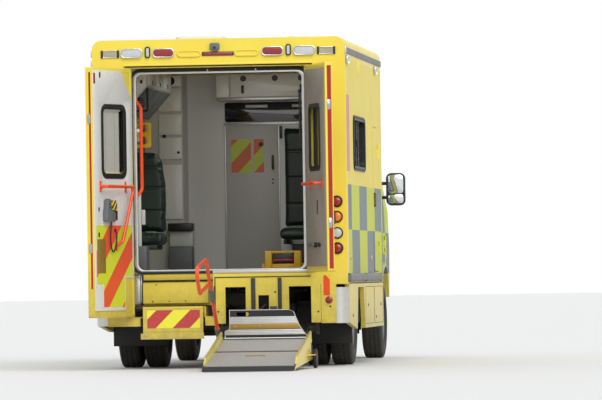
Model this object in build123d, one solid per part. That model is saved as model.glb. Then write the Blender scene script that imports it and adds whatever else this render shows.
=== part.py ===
from build123d import *
import math
import os

os.makedirs("parts", exist_ok=True)

# A high-roof box ambulance on a large van chassis, in millimetres.
# +X is the vehicle's right, +Y is forward and +Z is up from the ground.
# Lengths along the vehicle are stations, measured forward of the rear face of the body.
# Every piece is moved once, on export, so that the origin is under the middle of the vehicle.
REAR_FACE_Y = -1958.0

# Box body
BODY_HALF = 1075.0
ROOF_TOP = 2790.0
BOX_FRONT = 3550.0
EAVE_RADIUS = 80.0
WALL = 50.0
ROOF_DEPTH = 60.0
CANT_HEIGHT = 2610.0
FLOOR_TOP = 825.0
FLOOR_BOTTOM = 755.0
WALL_FOOT = 700.0
REAR_FRAME_DEPTH = 120.0
BULKHEAD = 40.0
SEAT_GAP = 0.3

# Rear door opening
OPENING_HALF = BODY_HALF - 275.0
OPENING_TOP = 2550.0
SILL_REBATE = 26.0
WELL_SILL = 440.0
WELL_LEFT = 10.0 - OPENING_HALF
WELL_RIGHT = -80.0
DOOR_MEET = -73.0
DOOR_WINDOW_Z = (1660.0, 2200.0)
WELL_DEPTH = 240.0
DOOR_THICK = 60.0
DOOR_GAP = 6.0
HINGE_OUT = 14.0
DOOR_OPEN_LEFT = 110.6
DOOR_OPEN_RIGHT = 107.1

# Wheels and axles
TYRE_RADIUS = 345.0
TYRE_WIDTH = 195.0
BEAD_RADIUS = 205.0
RIM_INSIDE = 190.0
TWIN_GAP = 24.0
REAR_AXLE = 1250.0
WHEELBASE = 3665.0
FRONT_AXLE = REAR_AXLE + WHEELBASE
REAR_TYRE_OUT = 1015.0
FRONT_TYRE_OUT = 970.0
KINGPIN_X = 715.0
LOWER_ARM_TOP = 261.0
SPRING_X = 505.0
REAR_HUB_IN = 24.0

REAR_DISC_X = REAR_TYRE_OUT - TYRE_WIDTH - TWIN_GAP / 2
AXLE_END = REAR_DISC_X - REAR_HUB_IN - SEAT_GAP

# Chassis
RAIL_X = 400.0
RAIL_WIDTH = 70.0
RAIL_BOTTOM = 520.0
RAIL_TOP = 650.0
RAIL_START = 360.0
RAIL_END = 5470.0
RAIL_WALL = 8.0
GEARBOX_FOOT = 540.0

# Aluminium posts below the rear corners
TRIM_X = BODY_HALF - 103.0

# Entry step under the left rear door
STEP_LEFT = -665.0
STEP_RIGHT = -155.0
STEP_TREAD = 530.0
STEP_FOOT = 255.0
STEP_SIDE_FOOT = 470.0
STEP_GUIDE = 12.0
STEP_OUT = 50.0
STEP_REACH = 250.0

# Platform lift under the right rear door
LIFT_LEFT = 40.0
LIFT_RIGHT = OPENING_HALF
ARM_PIVOT_Y = 350.0
ARM_PIVOT_Z = 330.0
ARM_REACH = 670.0
ARM_DROP = 210.0
ARM_X = (118.0, 660.0)
ARM_WIDTH = 84.0
ARM_DEPTH = 66.0
PIN_RADIUS = 15.0
PLATE_EDGE_Y = -365.0
PLATE_EDGE_Z = 250.0
PLATE_INNER = 690.0
PLATE_OUTER = 850.0
PLATE_THICK = 28.0
FLAP_HEIGHT = 240.0
FLAP_HINGE_Y = -336.0
FLAP_HINGE_Z = 256.0
FLAP_PIN = 6.0
PLATE_PIN = 8.0
CHEEK = 12.0
CHEEK_IN = 2.0
CHEEK_SLACK = 4.0
DOOR_CLEAR = 14.0
ROLLER_X = (LIFT_RIGHT + 22.0, LIFT_RIGHT + 52.0)
ROLLER_Y = -500.0
ROLLER_RADIUS = 80.0
ROLLER_LIFT = 2.0
LOBE = 13.0
PIN_FIT = 0.1
RAIL_TUBE = 16.0

# Cab
CAB_HALF = 990.0
CAB_REAR = 3600.0
CAB_NOSE = 5905.0
CAB_ROOF = 2365.0
CAB_WALL = 45.0
CAB_FOOT = 560.0
CAB_FLOOR = 800.0
ARCH_RADIUS = 440.0
CAB_DOOR_REAR = 3800.0
CAB_DOOR_FRONT = 4790.0
CAB_DOOR_GAP = 8.0
FIREWALL = 5100.0


def span(low, high):
    """Middle and length of a run."""
    return (low + high) / 2, high - low


def block(x, y, z):
    """A box from its low and high limits on each axis."""
    mid_x, size_x = span(*x)
    mid_y, size_y = span(*y)
    mid_z, size_z = span(*z)
    return Pos(mid_x, mid_y, mid_z) * Box(size_x, size_y, size_z)


def rod_x(x, y, z, radius):
    """A round bar along X."""
    mid_x, size_x = span(*x)
    return Pos(mid_x, y, z) * Rot(0, 90, 0) * Cylinder(radius, size_x)


def rod_y(x, y, z, radius):
    """A round bar along Y."""
    mid_y, size_y = span(*y)
    return Pos(x, mid_y, z) * Rot(90, 0, 0) * Cylinder(radius, size_y)


def rod_z(x, y, z, radius):
    """A round bar along Z."""
    mid_z, size_z = span(*z)
    return Pos(x, y, mid_z) * Cylinder(radius, size_z)


def outline(points, radius=0.0):
    """A closed face from its corners; radius is one value or one for each corner."""
    corners = list(points)
    radii = list(radius) if isinstance(radius, (list, tuple)) else [radius] * len(corners)
    after = corners[1:] + corners[:1]
    if sum(a[0] * b[1] - b[0] * a[1] for a, b in zip(corners, after)) < 0:
        corners.reverse()
        radii.reverse()
    if any(radii):
        return make_face(FilletPolyline(*corners, radius=radii, close=True))
    return make_face(Polyline(*corners, close=True))


def across(face, x):
    """Extrude a face drawn as (station, height) from one X to another."""
    plane = Plane(origin=(x[0], 0, 0), x_dir=(0, 1, 0), z_dir=(1, 0, 0))
    return extrude(plane * face, x[1] - x[0])


def along(face, y):
    """Extrude a face drawn as (X, height) from one station to another."""
    plane = Plane(origin=(0, y[1], 0), x_dir=(1, 0, 0), z_dir=(0, -1, 0))
    return extrude(plane * face, y[1] - y[0])


def upward(face, z):
    """Extrude a face drawn as (X, station) from one height to another."""
    return extrude(Pos(0, 0, z[0]) * face, z[1] - z[0])


def rounded(x, z, radius):
    """A rectangle with round corners, drawn from its limits."""
    mid_x, size_x = span(*x)
    mid_z, size_z = span(*z)
    return Pos(mid_x, mid_z) * RectangleRounded(size_x, size_z, radius)


def hinge(x, y, heights, length, radius, leaf_x, leaf_y):
    """Upright barrels, each with a flat leaf."""
    barrels = None
    for height in heights:
        barrel = rod_z(x, y, (height, height + length), radius)
        barrel += block(leaf_x, leaf_y, (height, height + length))
        barrels = barrel if barrels is None else barrels + barrel
    return barrels


def both_sides(shape):
    """A piece and its mirror image on the other side."""
    return [shape, mirror(shape, about=Plane.YZ)]


def tube(points, radius, bends):
    """A bent round tube through a list of corners."""
    path = FilletPolyline(*points, radius=bends)
    start = Plane(origin=path @ 0, z_dir=path % 0)
    return sweep(start * Circle(radius), path=path)


def save(name, *shapes):
    """Write one node, moved so that the origin is under the middle of the vehicle."""
    solids = []
    for shape in shapes:
        for item in shape if isinstance(shape, (list, tuple)) else [shape]:
            solids.extend(item.solids())
    moved = [Pos(0, REAR_FACE_Y, 0) * solid for solid in solids]
    export_step(moved[0] if len(moved) == 1 else Compound(moved), f"parts/{name}.step")


# Wheels

def tyre_profile(centre_x):
    """Section of one tyre: X across, radius up."""
    half = TYRE_WIDTH / 2
    corners = [
        (centre_x - half * 0.80, BEAD_RADIUS),
        (centre_x - half, BEAD_RADIUS + 62),
        (centre_x - half * 0.86, TYRE_RADIUS - 12),
        (centre_x - half * 0.55, TYRE_RADIUS),
        (centre_x + half * 0.55, TYRE_RADIUS),
        (centre_x + half * 0.86, TYRE_RADIUS - 12),
        (centre_x + half, BEAD_RADIUS + 62),
        (centre_x + half * 0.80, BEAD_RADIUS),
    ]
    return outline(corners, [0, 40, 10, 20, 20, 10, 40, 0])


def spun_about_axle(face):
    """Spin a section drawn as (X, radius) about the X axis."""
    return revolve(face, Axis.X)


def rim(centre_x, dish_x, outward):
    """A steel wheel: a barrel in the tyre, and a dished disc with holes."""
    half = TYRE_WIDTH / 2 * 0.80
    barrel_out = BEAD_RADIUS - SEAT_GAP
    barrel = outline([
        (centre_x - half, RIM_INSIDE),
        (centre_x - half, barrel_out),
        (centre_x + half, barrel_out),
        (centre_x + half, RIM_INSIDE),
    ])
    step = outward * 22
    disc = outline([
        (dish_x, 60),
        (dish_x, 118),
        (dish_x - step * 2, 172),
        (dish_x - step * 2, RIM_INSIDE + 4),
        (dish_x - step * 2 - outward * 10, RIM_INSIDE + 4),
        (dish_x - step * 2 - outward * 10, 168),
        (dish_x - outward * 12, 112),
        (dish_x - outward * 12, 60),
    ])
    wheel = spun_about_axle(barrel) + spun_about_axle(disc)
    for turn in range(8):
        wheel -= Rot(turn * 45, 0, 0) * rod_x((dish_x - 80, dish_x + 80), 0, 146, 17)
    return wheel


def front_wheel(side):
    """Single front wheel, with its disc near the outside."""
    centre_x = side * (FRONT_TYRE_OUT - TYRE_WIDTH / 2)
    dish_x = centre_x + side * 52
    cap = outline([
        (dish_x - side * 12, 0),
        (dish_x + side * 26, 0),
        (dish_x + side * 26, 38),
        (dish_x + side * 14, 54),
        (dish_x, 59.7),
        (dish_x - side * 12, 59.7),
    ])
    parts = [spun_about_axle(tyre_profile(centre_x)), rim(centre_x, dish_x, side), spun_about_axle(cap)]
    return [Pos(0, FRONT_AXLE, TYRE_RADIUS) * part for part in parts]


def rear_wheels(side):
    """Twin rear wheels on one hub."""
    outer_x = side * (REAR_TYRE_OUT - TYRE_WIDTH / 2)
    inner_x = outer_x - side * (TYRE_WIDTH + TWIN_GAP)
    dish_x = side * REAR_DISC_X
    hub = outline([
        (dish_x - side * REAR_HUB_IN, 0),
        (dish_x + side * 78, 0),
        (dish_x + side * 78, 44),
        (dish_x + side * 66, 54),
        (dish_x, 59.7),
        (dish_x - side * REAR_HUB_IN, 59.7),
    ])
    parts = [
        spun_about_axle(tyre_profile(outer_x)),
        spun_about_axle(tyre_profile(inner_x)),
        rim(outer_x, dish_x, -side),
        rim(inner_x, dish_x - side * SEAT_GAP, side),
        spun_about_axle(hub),
    ]
    return [Pos(0, REAR_AXLE, TYRE_RADIUS) * part for part in parts]


for side, word in ((-1, "left"), (1, "right")):
    save(f"wheel_front_{word}", front_wheel(side))
    save(f"wheel_rear_{word}", rear_wheels(side))


# Chassis frame: two channel rails, cross members and floor bearers

def channel_rail(side):
    """A C-section side rail, open towards the middle."""
    low, high = RAIL_X - RAIL_WIDTH / 2, RAIL_X + RAIL_WIDTH / 2
    section = outline([(low, RAIL_BOTTOM), (high, RAIL_BOTTOM), (high, RAIL_TOP), (low, RAIL_TOP)])
    hollow = outline([
        (low - 1, RAIL_BOTTOM + RAIL_WALL),
        (high - RAIL_WALL, RAIL_BOTTOM + RAIL_WALL),
        (high - RAIL_WALL, RAIL_TOP - RAIL_WALL),
        (low - 1, RAIL_TOP - RAIL_WALL),
    ])
    rail = along(section - hollow, (RAIL_START, RAIL_END))
    return rail if side > 0 else mirror(rail, about=Plane.YZ)


BEARERS = (  # station, width along the vehicle, half span
    (RAIL_START, 60, BODY_HALF - 55),
    (820, 50, BODY_HALF - 55),
    (1720, 50, BODY_HALF - 55),
    (2450, 50, BODY_HALF - 55),
    (3300, 60, BODY_HALF - 55),
)
CROSS_MEMBERS = (  # station, width along the vehicle
    (480, 60),
    (1900, 60),
    (2900, 60),
)


def chassis():
    frame = channel_rail(1) + channel_rail(-1)
    web = RAIL_X + RAIL_WIDTH / 2 - RAIL_WALL
    for station, width in CROSS_MEMBERS:
        frame += block((-web, web), (station, station + width), (RAIL_BOTTOM + 20, RAIL_TOP - 20))
    for station, width, half in BEARERS:
        bearer = across(outline([
            (station, FLOOR_BOTTOM),
            (station, WALL_FOOT),
            (station + width, WALL_FOOT),
            (station + width, FLOOR_BOTTOM),
        ]), (-half, half))
        frame += bearer
        frame += block((-RAIL_X - 35, -RAIL_X + 35), (station, station + width), (RAIL_TOP, WALL_FOOT))
        frame += block((RAIL_X - 35, RAIL_X + 35), (station, station + width), (RAIL_TOP, WALL_FOOT))
    # Cab mounts, the bearer under the gearbox and the beam behind the bumper
    for x in (-RAIL_X, RAIL_X):
        for station in (3700, 4560):
            frame += block((x - 30, x + 30), (station, station + 60), (RAIL_TOP, CAB_FLOOR - CAB_WALL))
    frame += block((-RAIL_X, RAIL_X), (4200, 4260), (RAIL_BOTTOM - 25, GEARBOX_FOOT))
    frame += block((-590, 590), (RAIL_END, RAIL_END + 60), (RAIL_BOTTOM, RAIL_TOP - 20))
    # Rear hangers that carry the cross tube of the lift
    for low in (-46.0, 766.0):
        plate = block((low, low + 20), (ARM_PIVOT_Y - 50, ARM_PIVOT_Y + 70), (ARM_PIVOT_Z - 55, WALL_FOOT))
        frame += plate
        frame -= rod_x((low - 1, low + 21), ARM_PIVOT_Y, ARM_PIVOT_Z, 35.3)
    return frame


save("chassis_frame", chassis())


# Engine, gearbox and drive shaft

def driveline():
    engine = block((-260, 260), (FIREWALL + 60, RAIL_END - 30), (GEARBOX_FOOT, 1050))
    engine += block((-RAIL_X - 20, RAIL_X + 20), (5220, 5280), (RAIL_TOP, RAIL_TOP + 20))
    gearbox = loft([
        Plane(origin=(0, FIREWALL + 60, GEARBOX_FOOT + 105), x_dir=(1, 0, 0), z_dir=(0, -1, 0)) * Rectangle(380, 210),
        Plane(origin=(0, 4060, GEARBOX_FOOT + 90), x_dir=(1, 0, 0), z_dir=(0, -1, 0)) * Rectangle(190, 180),
    ])
    front = Vector(0, 4060, GEARBOX_FOOT + 60)
    back = Vector(0, REAR_AXLE + 140, TYRE_RADIUS + 12)
    shaft = Plane(origin=front, z_dir=back - front)
    return engine + gearbox + extrude(shaft * Circle(34), (back - front).length)


# Axles and springs

def leaf_spring(side):
    """A stack of three leaves over the axle, arched down in the middle."""
    centre = side * SPRING_X
    spring = None
    for leaf, (half, lift) in enumerate(((640, 0), (420, 16), (230, 32))):
        top = TYRE_RADIUS + 118 - lift
        piece = across(outline([
            (REAR_AXLE - half, top + 70 * half / 640),
            (REAR_AXLE, top),
            (REAR_AXLE + half, top + 70 * half / 640),
            (REAR_AXLE + half, top - 16 + 70 * half / 640),
            (REAR_AXLE, top - 16),
            (REAR_AXLE - half, top - 16 + 70 * half / 640),
        ]), (centre - 35, centre + 35))
        spring = piece if spring is None else spring + piece
    for station in (REAR_AXLE - 640, REAR_AXLE + 640):
        spring += rod_x((centre - 35, centre + 35), station, TYRE_RADIUS + 180, 24)
        hanger_x = sorted((side * (RAIL_X + RAIL_WIDTH / 2), centre - side * 29))
        spring += block(hanger_x, (station - 30, station + 30), (TYRE_RADIUS + 175, RAIL_TOP - 20))
    return spring


AXLE_HALF = (  # X, radius and corner radius of the axle housing, from the middle out
    (100, 132, 60),
    (190, 48, 60),
    (600, 48, 0),
    (600, 40, 0),
    (AXLE_END, 40, 0),
)


def rear_axle():
    """A turned housing with its bulge for the differential, on two leaf springs."""
    right = [(x, radius, corner) for x, radius, corner in AXLE_HALF]
    left = [(-x, radius, corner) for x, radius, corner in reversed(right)]
    rows = [(-AXLE_END, 0, 0)] + left + right + [(AXLE_END, 0, 0)]
    section = outline([row[:2] for row in rows], [row[2] for row in rows])
    axle = Pos(0, REAR_AXLE, TYRE_RADIUS) * spun_about_axle(section)
    for side in (-1, 1):
        axle += leaf_spring(side)
        axle += block((side * SPRING_X - 40, side * SPRING_X + 40), (REAR_AXLE - 60, REAR_AXLE + 60),
                      (TYRE_RADIUS, TYRE_RADIUS + 90))
    return axle


def knuckle(side):
    """Hub carrier with its strut, arm and brake disc, about an upright steering axis."""
    stub_in, stub_out = sorted((side * KINGPIN_X, side * 912.2))
    carrier = rod_x((stub_in, stub_out), FRONT_AXLE, TYRE_RADIUS, 44)
    carrier += rod_z(side * KINGPIN_X, FRONT_AXLE, (LOWER_ARM_TOP + SEAT_GAP, TYRE_RADIUS + 90), 34)
    carrier += rod_z(side * KINGPIN_X, FRONT_AXLE, (TYRE_RADIUS + 90, TYRE_RADIUS + 420), 27)
    carrier += rod_z(side * KINGPIN_X, FRONT_AXLE, (TYRE_RADIUS + 420, TYRE_RADIUS + 560), 13)
    disc_low, disc_high = sorted((side * 800, side * 828))
    carrier += rod_x((disc_low, disc_high), FRONT_AXLE, TYRE_RADIUS, 145)
    arm_low, arm_high = sorted((side * (KINGPIN_X - 45), side * (KINGPIN_X + 10)))
    carrier += block((arm_low, arm_high), (FRONT_AXLE - 150, FRONT_AXLE), (TYRE_RADIUS - 70, TYRE_RADIUS - 48))
    return carrier


def front_suspension():
    """Subframe across the car, lower arms out to the ball joints, and the steering rack."""
    frame = block((-430, 430), (FRONT_AXLE - 70, FRONT_AXLE + 90), (RAIL_BOTTOM - 150, RAIL_BOTTOM - 70))
    for side in (-1, 1):
        low, high = sorted((side * 345, side * 425))
        frame += block((low, high), (FRONT_AXLE - 60, FRONT_AXLE + 80), (RAIL_BOTTOM - 70, RAIL_BOTTOM))
        arm = upward(outline([
            (side * 420, FRONT_AXLE - 60),
            (side * (KINGPIN_X + 15), FRONT_AXLE - 22),
            (side * (KINGPIN_X + 15), FRONT_AXLE + 22),
            (side * 420, FRONT_AXLE + 170),
            (side * 360, FRONT_AXLE + 170),
            (side * 360, FRONT_AXLE - 60),
        ]), (LOWER_ARM_TOP - 34, LOWER_ARM_TOP))
        frame += arm
        low, high = sorted((side * 350, side * 425))
        frame += block((low, high), (FRONT_AXLE - 60, FRONT_AXLE + 90), (TYRE_RADIUS - 118, RAIL_BOTTOM - 140))
    frame += rod_x((-360, 360), FRONT_AXLE - 105, TYRE_RADIUS + 60, 26)
    for side in (-1, 1):
        low, high = sorted((side * 300, side * 340))
        frame += block((low, high), (FRONT_AXLE - 110, FRONT_AXLE - 60), (TYRE_RADIUS + 40, TYRE_RADIUS + 80))
    return frame


save("driveline", driveline())
save("rear_axle", rear_axle())
save("front_suspension", front_suspension())
for side, word in ((-1, "left"), (1, "right")):
    save(f"knuckle_{word}", knuckle(side))


# Fuel tank, battery box and exhaust hung under the floor

def underbody():
    tank = along(rounded((500, 900), (330, 640), 45), (2250, 3050))
    tank += block((435, 560), (2350, 2400), (560, 630))
    tank += block((435, 560), (2900, 2950), (560, 630))
    battery = along(rounded((-900, -520), (360, 640), 30), (2000, 2420))
    battery += block((-560, -435), (2100, 2150), (560, 630))
    battery += block((-560, -435), (2300, 2350), (560, 630))
    silencer = along(Pos(-250, 430) * Ellipse(110, 75), (2700, 3300))
    pipe = tube([(-250, 3290, 430), (-250, 3700, 440), (-330, 4300, 440), (-330, 4900, 600)], 26, 90)
    tail = tube([(-250, 2710, 430), (-250, 2450, 410), (-480, 1900, 390), (-880, 1850, 380)], 24, 80)
    hanger = block((-262, -238), (2910, 2950), (480, RAIL_BOTTOM + 20))
    return [tank, battery, silencer + pipe + tail + hanger]


save("underbody_units", underbody())


# Box body shell

def body_section(inset, foot, top_drop):
    """Section of the box: flat sides and rounded eaves, drawn as (X, height)."""
    half = BODY_HALF - inset
    top = ROOF_TOP - top_drop
    radius = max(EAVE_RADIUS - inset, 25.0)
    return outline(
        [(-half, foot), (half, foot), (half, top), (-half, top)],
        [0, 0, radius, radius],
    )


def floor_slab():
    half = BODY_HALF - WALL
    slab = block((-half, half), (REAR_FRAME_DEPTH, BOX_FRONT), (FLOOR_BOTTOM, FLOOR_TOP))
    slab -= block((WELL_LEFT - 10, WELL_RIGHT + 10), (0, WELL_DEPTH), (FLOOR_BOTTOM - 1, FLOOR_TOP + 1))
    return slab


SIDE_WINDOW_Y = (700.0, 1780.0)
SIDE_WINDOW_Z = (1690.0, 2120.0)
SIDE_DOOR_Y = (2480.0, 3300.0)
SIDE_DOOR_Z = (840.0, 2440.0)
SIDE_DOOR_HINGES = (1050.0, 1550.0, 2250.0)
SIDE_BARREL = (90.0, 13.0)
LOCKER_Y = (2620.0, 3080.0)
LOCKER_Z = (800.0, 2090.0)
LOCKER_HINGES = (950.0, 1820.0)
LOCKER_BARREL = (80.0, 11.0)
REAR_HINGES = (945.0, 1500.0, 2330.0)
REAR_BARREL = (110.0, 13.0)
FIXED_BARREL = 40.0


def side_panel(openings):
    """One flat side of the box with rounded rectangles cut through it."""
    panel = outline([
        (REAR_FRAME_DEPTH, WALL_FOOT),
        (BOX_FRONT, WALL_FOOT),
        (BOX_FRONT, CANT_HEIGHT),
        (REAR_FRAME_DEPTH, CANT_HEIGHT),
    ])
    for stations, heights, radius in openings:
        panel -= rounded(stations, heights, radius)
    return across(panel, (BODY_HALF - WALL, BODY_HALF))


def above(heights, length):
    """Where the fixed barrels sit, just over the barrels of the door."""
    return [height + length + SEAT_GAP for height in heights]


def wall_right():
    wall = side_panel(((SIDE_WINDOW_Y, SIDE_WINDOW_Z, 70), (LOCKER_Y, LOCKER_Z, 30)))
    pin_x = BODY_HALF + 15
    return wall + hinge(pin_x, LOCKER_Y[1], above(LOCKER_HINGES, LOCKER_BARREL[0]), FIXED_BARREL,
                        LOCKER_BARREL[1], (BODY_HALF, pin_x), (LOCKER_Y[1], LOCKER_Y[1] + 50))


def wall_left():
    wall = mirror(side_panel(((SIDE_WINDOW_Y, SIDE_WINDOW_Z, 70), (SIDE_DOOR_Y, SIDE_DOOR_Z, 60))), about=Plane.YZ)
    pin_x = -BODY_HALF - HINGE_OUT
    return wall + hinge(pin_x, SIDE_DOOR_Y[1], above(SIDE_DOOR_HINGES, SIDE_BARREL[0]), FIXED_BARREL,
                        SIDE_BARREL[1], (pin_x, -BODY_HALF), (SIDE_DOOR_Y[1], SIDE_DOOR_Y[1] + 60))


def roof():
    """Roof with its rounded cant rails, and the hole of the hatch."""
    outer = body_section(0, CANT_HEIGHT, 0)
    inner = body_section(WALL, CANT_HEIGHT - 1, ROOF_DEPTH)
    shell = along(outer - inner, (REAR_FRAME_DEPTH, BOX_FRONT))
    shell -= block(HATCH_HOLE_X, HATCH_HOLE_Y, (ROOF_TOP - 2 * ROOF_DEPTH, ROOF_TOP + 10))
    for low, high in HATCH_BARRELS:
        shell += rod_x((high + 2, high + 42), HATCH_PIN_Y, HATCH_PIN_Z, 9)
        shell += block((high + 2, high + 42), (HATCH_PIN_Y - 8, HATCH_PIN_Y + 8), (ROOF_TOP - 5, HATCH_PIN_Z))
    return shell


HATCH_HOLE_X = (-400.0, -40.0)
HATCH_HOLE_Y = (560.0, 1000.0)
HATCH_LIP = 18.0
HATCH_PIN_Y = 1044.0
HATCH_PIN_Z = ROOF_TOP + 14
HATCH_BARRELS = ((-330.0, -280.0), (-160.0, -110.0))


def rear_frame():
    """The frame of the rear doors: posts, header and sill in one pressing."""
    face = body_section(0, WALL_FOOT, 0)
    face -= Pos(0, (FLOOR_TOP + OPENING_TOP) / 2) * Rectangle(2 * OPENING_HALF, OPENING_TOP - FLOOR_TOP)
    well_mid, well_width = span(-OPENING_HALF, WELL_RIGHT + 10)
    face -= Pos(well_mid, (WALL_FOOT + FLOOR_TOP) / 2) * Rectangle(well_width, FLOOR_TOP - WALL_FOOT + 2)
    frame = along(face, (0, REAR_FRAME_DEPTH))
    # The right door closes into a rebate along the sill
    frame -= block((WELL_RIGHT, OPENING_HALF), (-1, DOOR_THICK + 8), (FLOOR_TOP - SILL_REBATE, FLOOR_TOP + 1))
    for side in (-1, 1):
        leaf_x = sorted((side * OPENING_HALF, side * (OPENING_HALF + 60)))
        frame += hinge(side * OPENING_HALF, -HINGE_OUT, above(REAR_HINGES, REAR_BARREL[0]), FIXED_BARREL,
                       REAR_BARREL[1], leaf_x, (-HINGE_OUT, 0))
    return frame


save("saloon_floor", floor_slab())
save("saloon_wall_right", wall_right())
save("saloon_wall_left", wall_left())
save("saloon_roof", roof())
save("rear_frame", rear_frame())
inside_half = BODY_HALF - WALL - SEAT_GAP
save("saloon_bulkhead", block((-inside_half, inside_half), (BOX_FRONT - BULKHEAD, BOX_FRONT), (FLOOR_TOP, CANT_HEIGHT)))


# Roof hatch and vent

def hatch_lid():
    low_x, high_x = HATCH_HOLE_X[0] - 30, HATCH_HOLE_X[1] + 30
    low_y, high_y = HATCH_HOLE_Y[0] - 30, HATCH_HOLE_Y[1] + 30
    lid = upward(rounded((low_x, high_x), (low_y, high_y), 60), (ROOF_TOP + SEAT_GAP, ROOF_TOP + 48))
    lid = fillet(lid.edges().group_by(Axis.Z)[-1], 14)
    cavity = upward(rounded((low_x + 14, high_x - 14), (low_y + 14, high_y - 14), 46),
                    (ROOF_TOP, ROOF_TOP + 34))
    for low, high in HATCH_BARRELS:
        lid += rod_x((low, high), HATCH_PIN_Y, HATCH_PIN_Z, 9)
        lid += block((low, high), (high_y - 4, HATCH_PIN_Y), (HATCH_PIN_Z - 8, HATCH_PIN_Z + 8))
    return lid - cavity


def roof_vent():
    vent = Pos(590, 800, ROOF_TOP + 21) * Cylinder(75, 42)
    return fillet(vent.edges().group_by(Axis.Z)[-1], 12)


save("roof_hatch", hatch_lid())


# Lower rear: step well, bumper, corner trims and the panel round the lift arms

def step_well():
    """Tub behind the left rear door, with its yellow riser."""
    inside = DOOR_THICK + 8
    left = block((WELL_LEFT - 10, WELL_LEFT), (inside, WELL_DEPTH), (WELL_SILL - 6, FLOOR_BOTTOM))
    right = block((WELL_RIGHT, WELL_RIGHT + 10), (inside, WELL_DEPTH), (WELL_SILL - 6, FLOOR_BOTTOM))
    riser = block((WELL_LEFT, WELL_RIGHT), (WELL_DEPTH - 12, WELL_DEPTH), (STEP_TREAD + 6, FLOOR_TOP))
    well = left + right + riser
    sides = ((STEP_LEFT, -1, WELL_LEFT), (STEP_RIGHT, 1, WELL_RIGHT))
    for edge, outward, wall in sides:
        ledge = sorted((wall, edge + outward * STEP_GUIDE))
        well += block(ledge, (inside, WELL_DEPTH), (WELL_SILL - 6, WELL_SILL + 4))
        guide = sorted((edge + outward * STEP_GUIDE, edge + outward * SEAT_GAP))
        well += block(guide, (inside, WELL_DEPTH), (WELL_SILL - 6, STEP_TREAD - 4))
        foot = sorted((edge + outward * STEP_GUIDE, edge - outward * 14))
        well += block(foot, (inside + 50, WELL_DEPTH), (WELL_SILL - 6, STEP_SIDE_FOOT - SEAT_GAP))
    return well


def rear_bumper():
    """Bumper bar, cut away for the step, with the well above it."""
    side = TRIM_X - SEAT_GAP
    left = block((-side, STEP_LEFT - 30), (0, 80), (365, WELL_SILL - 6))
    middle = block((STEP_RIGHT + 12, -60), (0, 80), (365, WELL_SILL - 6))
    post_left = block((-side, -OPENING_HALF - 2), (0, 80), (WELL_SILL - 6, WALL_FOOT))
    post_right = block((845, side), (0, 80), (372, WALL_FOOT))
    return [left + post_left + step_well() + middle, post_right]


def lift_panel():
    """Flat panel with two slots for the lift arms and one between, open at the foot."""
    panel = rounded((-58, 842), (378, WALL_FOOT - SEAT_GAP), 8)
    for low, high, top in ((32, 205, 686), (312, 402, 614), (572, 760, 686)):
        mid, width = span(low, high)
        panel -= Pos(mid, (top + 370) / 2) * Rectangle(width, top - 370)
    return along(panel, (0, 22))


def corner_trim():
    """Quarter-round aluminium post below the corner of the body."""
    outside = BODY_HALF - 5
    face = outline([(TRIM_X, 5), (outside, 5), (outside, 105), (TRIM_X, 105)], [0, 85, 0, 0])
    return upward(face, (370, 673))


save("rear_bumper", rear_bumper())
save("lift_panel", lift_panel())
save("corner_trims", both_sides(corner_trim()))


# Side skirts with the rear arch cut out, and the rub rails above them

SKIRT_PROFILE = (  # station, height
    (107, WALL_FOOT),
    (107, 372),
    (860, 312),
    (975, 668),
    (1525, 668),
    (1640, 312),
    (BOX_FRONT - 10, 312),
    (BOX_FRONT - 10, WALL_FOOT),
)


def skirt():
    return across(outline(SKIRT_PROFILE), (BODY_HALF - 38, BODY_HALF))


def rub_rail():
    """Half-round rail along the foot of the body side, with a rounded end."""
    section = outline(
        [(BODY_HALF, 718), (BODY_HALF + 26, 718), (BODY_HALF + 26, 786), (BODY_HALF, 786)],
        [0, 22, 22, 0],
    )
    return along(section, (0, 3200))


def cant_strip():
    section = outline(
        [(BODY_HALF, 2648), (BODY_HALF + 10, 2652), (BODY_HALF + 10, 2698), (BODY_HALF, 2704)],
    )
    return along(section, (20, BOX_FRONT - 20))


save("side_skirts", both_sides(skirt()))
save("side_rails", both_sides(rub_rail()), both_sides(cant_strip()))


# Lamps on the rear face, drawn on the right and mirrored

HEADER_LAMPS = (  # X from, X to, foot, top, corner radius, how far it stands out
    (842, 997, 2640, 2705, 8, 10),
    (641, 828, 2636, 2716, 34, 26),
    (575, 622, 2634, 2732, 22, 18),
    (372, 556, 2636, 2714, 34, 22),
    (143, 346, 2637, 2696, 28, 14),
)
PILLAR_LAMPS = (1396, 1267, 1130, 1002)


def rear_lamps():
    lamps = []
    for low, high, foot, top, radius, out in HEADER_LAMPS:
        lamps += both_sides(along(rounded((low, high), (foot, top), radius), (-out, 0)))
    lamps.append(along(rounded((-125, 125), (2648, 2674), 8), (-12, 0)))
    for height in PILLAR_LAMPS:
        lamp = rod_y(990, (-24, 0), height, 50)
        lamps += both_sides(fillet(lamp.edges().group_by(Axis.Y)[0], 10))
    camera = Pos(-25, -22, 2720) * Box(86, 44, 70)
    lamps.append(fillet(camera.edges().group_by(Axis.Y)[0], 16))
    return lamps


def side_lamps():
    """Scene lamps high on each side, and the cowl of the extractor vent on the right."""
    lamps = []
    for station in (70, 2850):
        lamps += both_sides(across(rounded((station, station + 170), (2560, 2630), 18), (BODY_HALF, BODY_HALF + 22)))
    cowl = across(rounded((1130, 1290), (2500, 2620), 50), (BODY_HALF, BODY_HALF + 18))
    lamps.append(cowl)
    return lamps


save("body_lamps", rear_lamps(), side_lamps())


# Windows of the box

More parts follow.
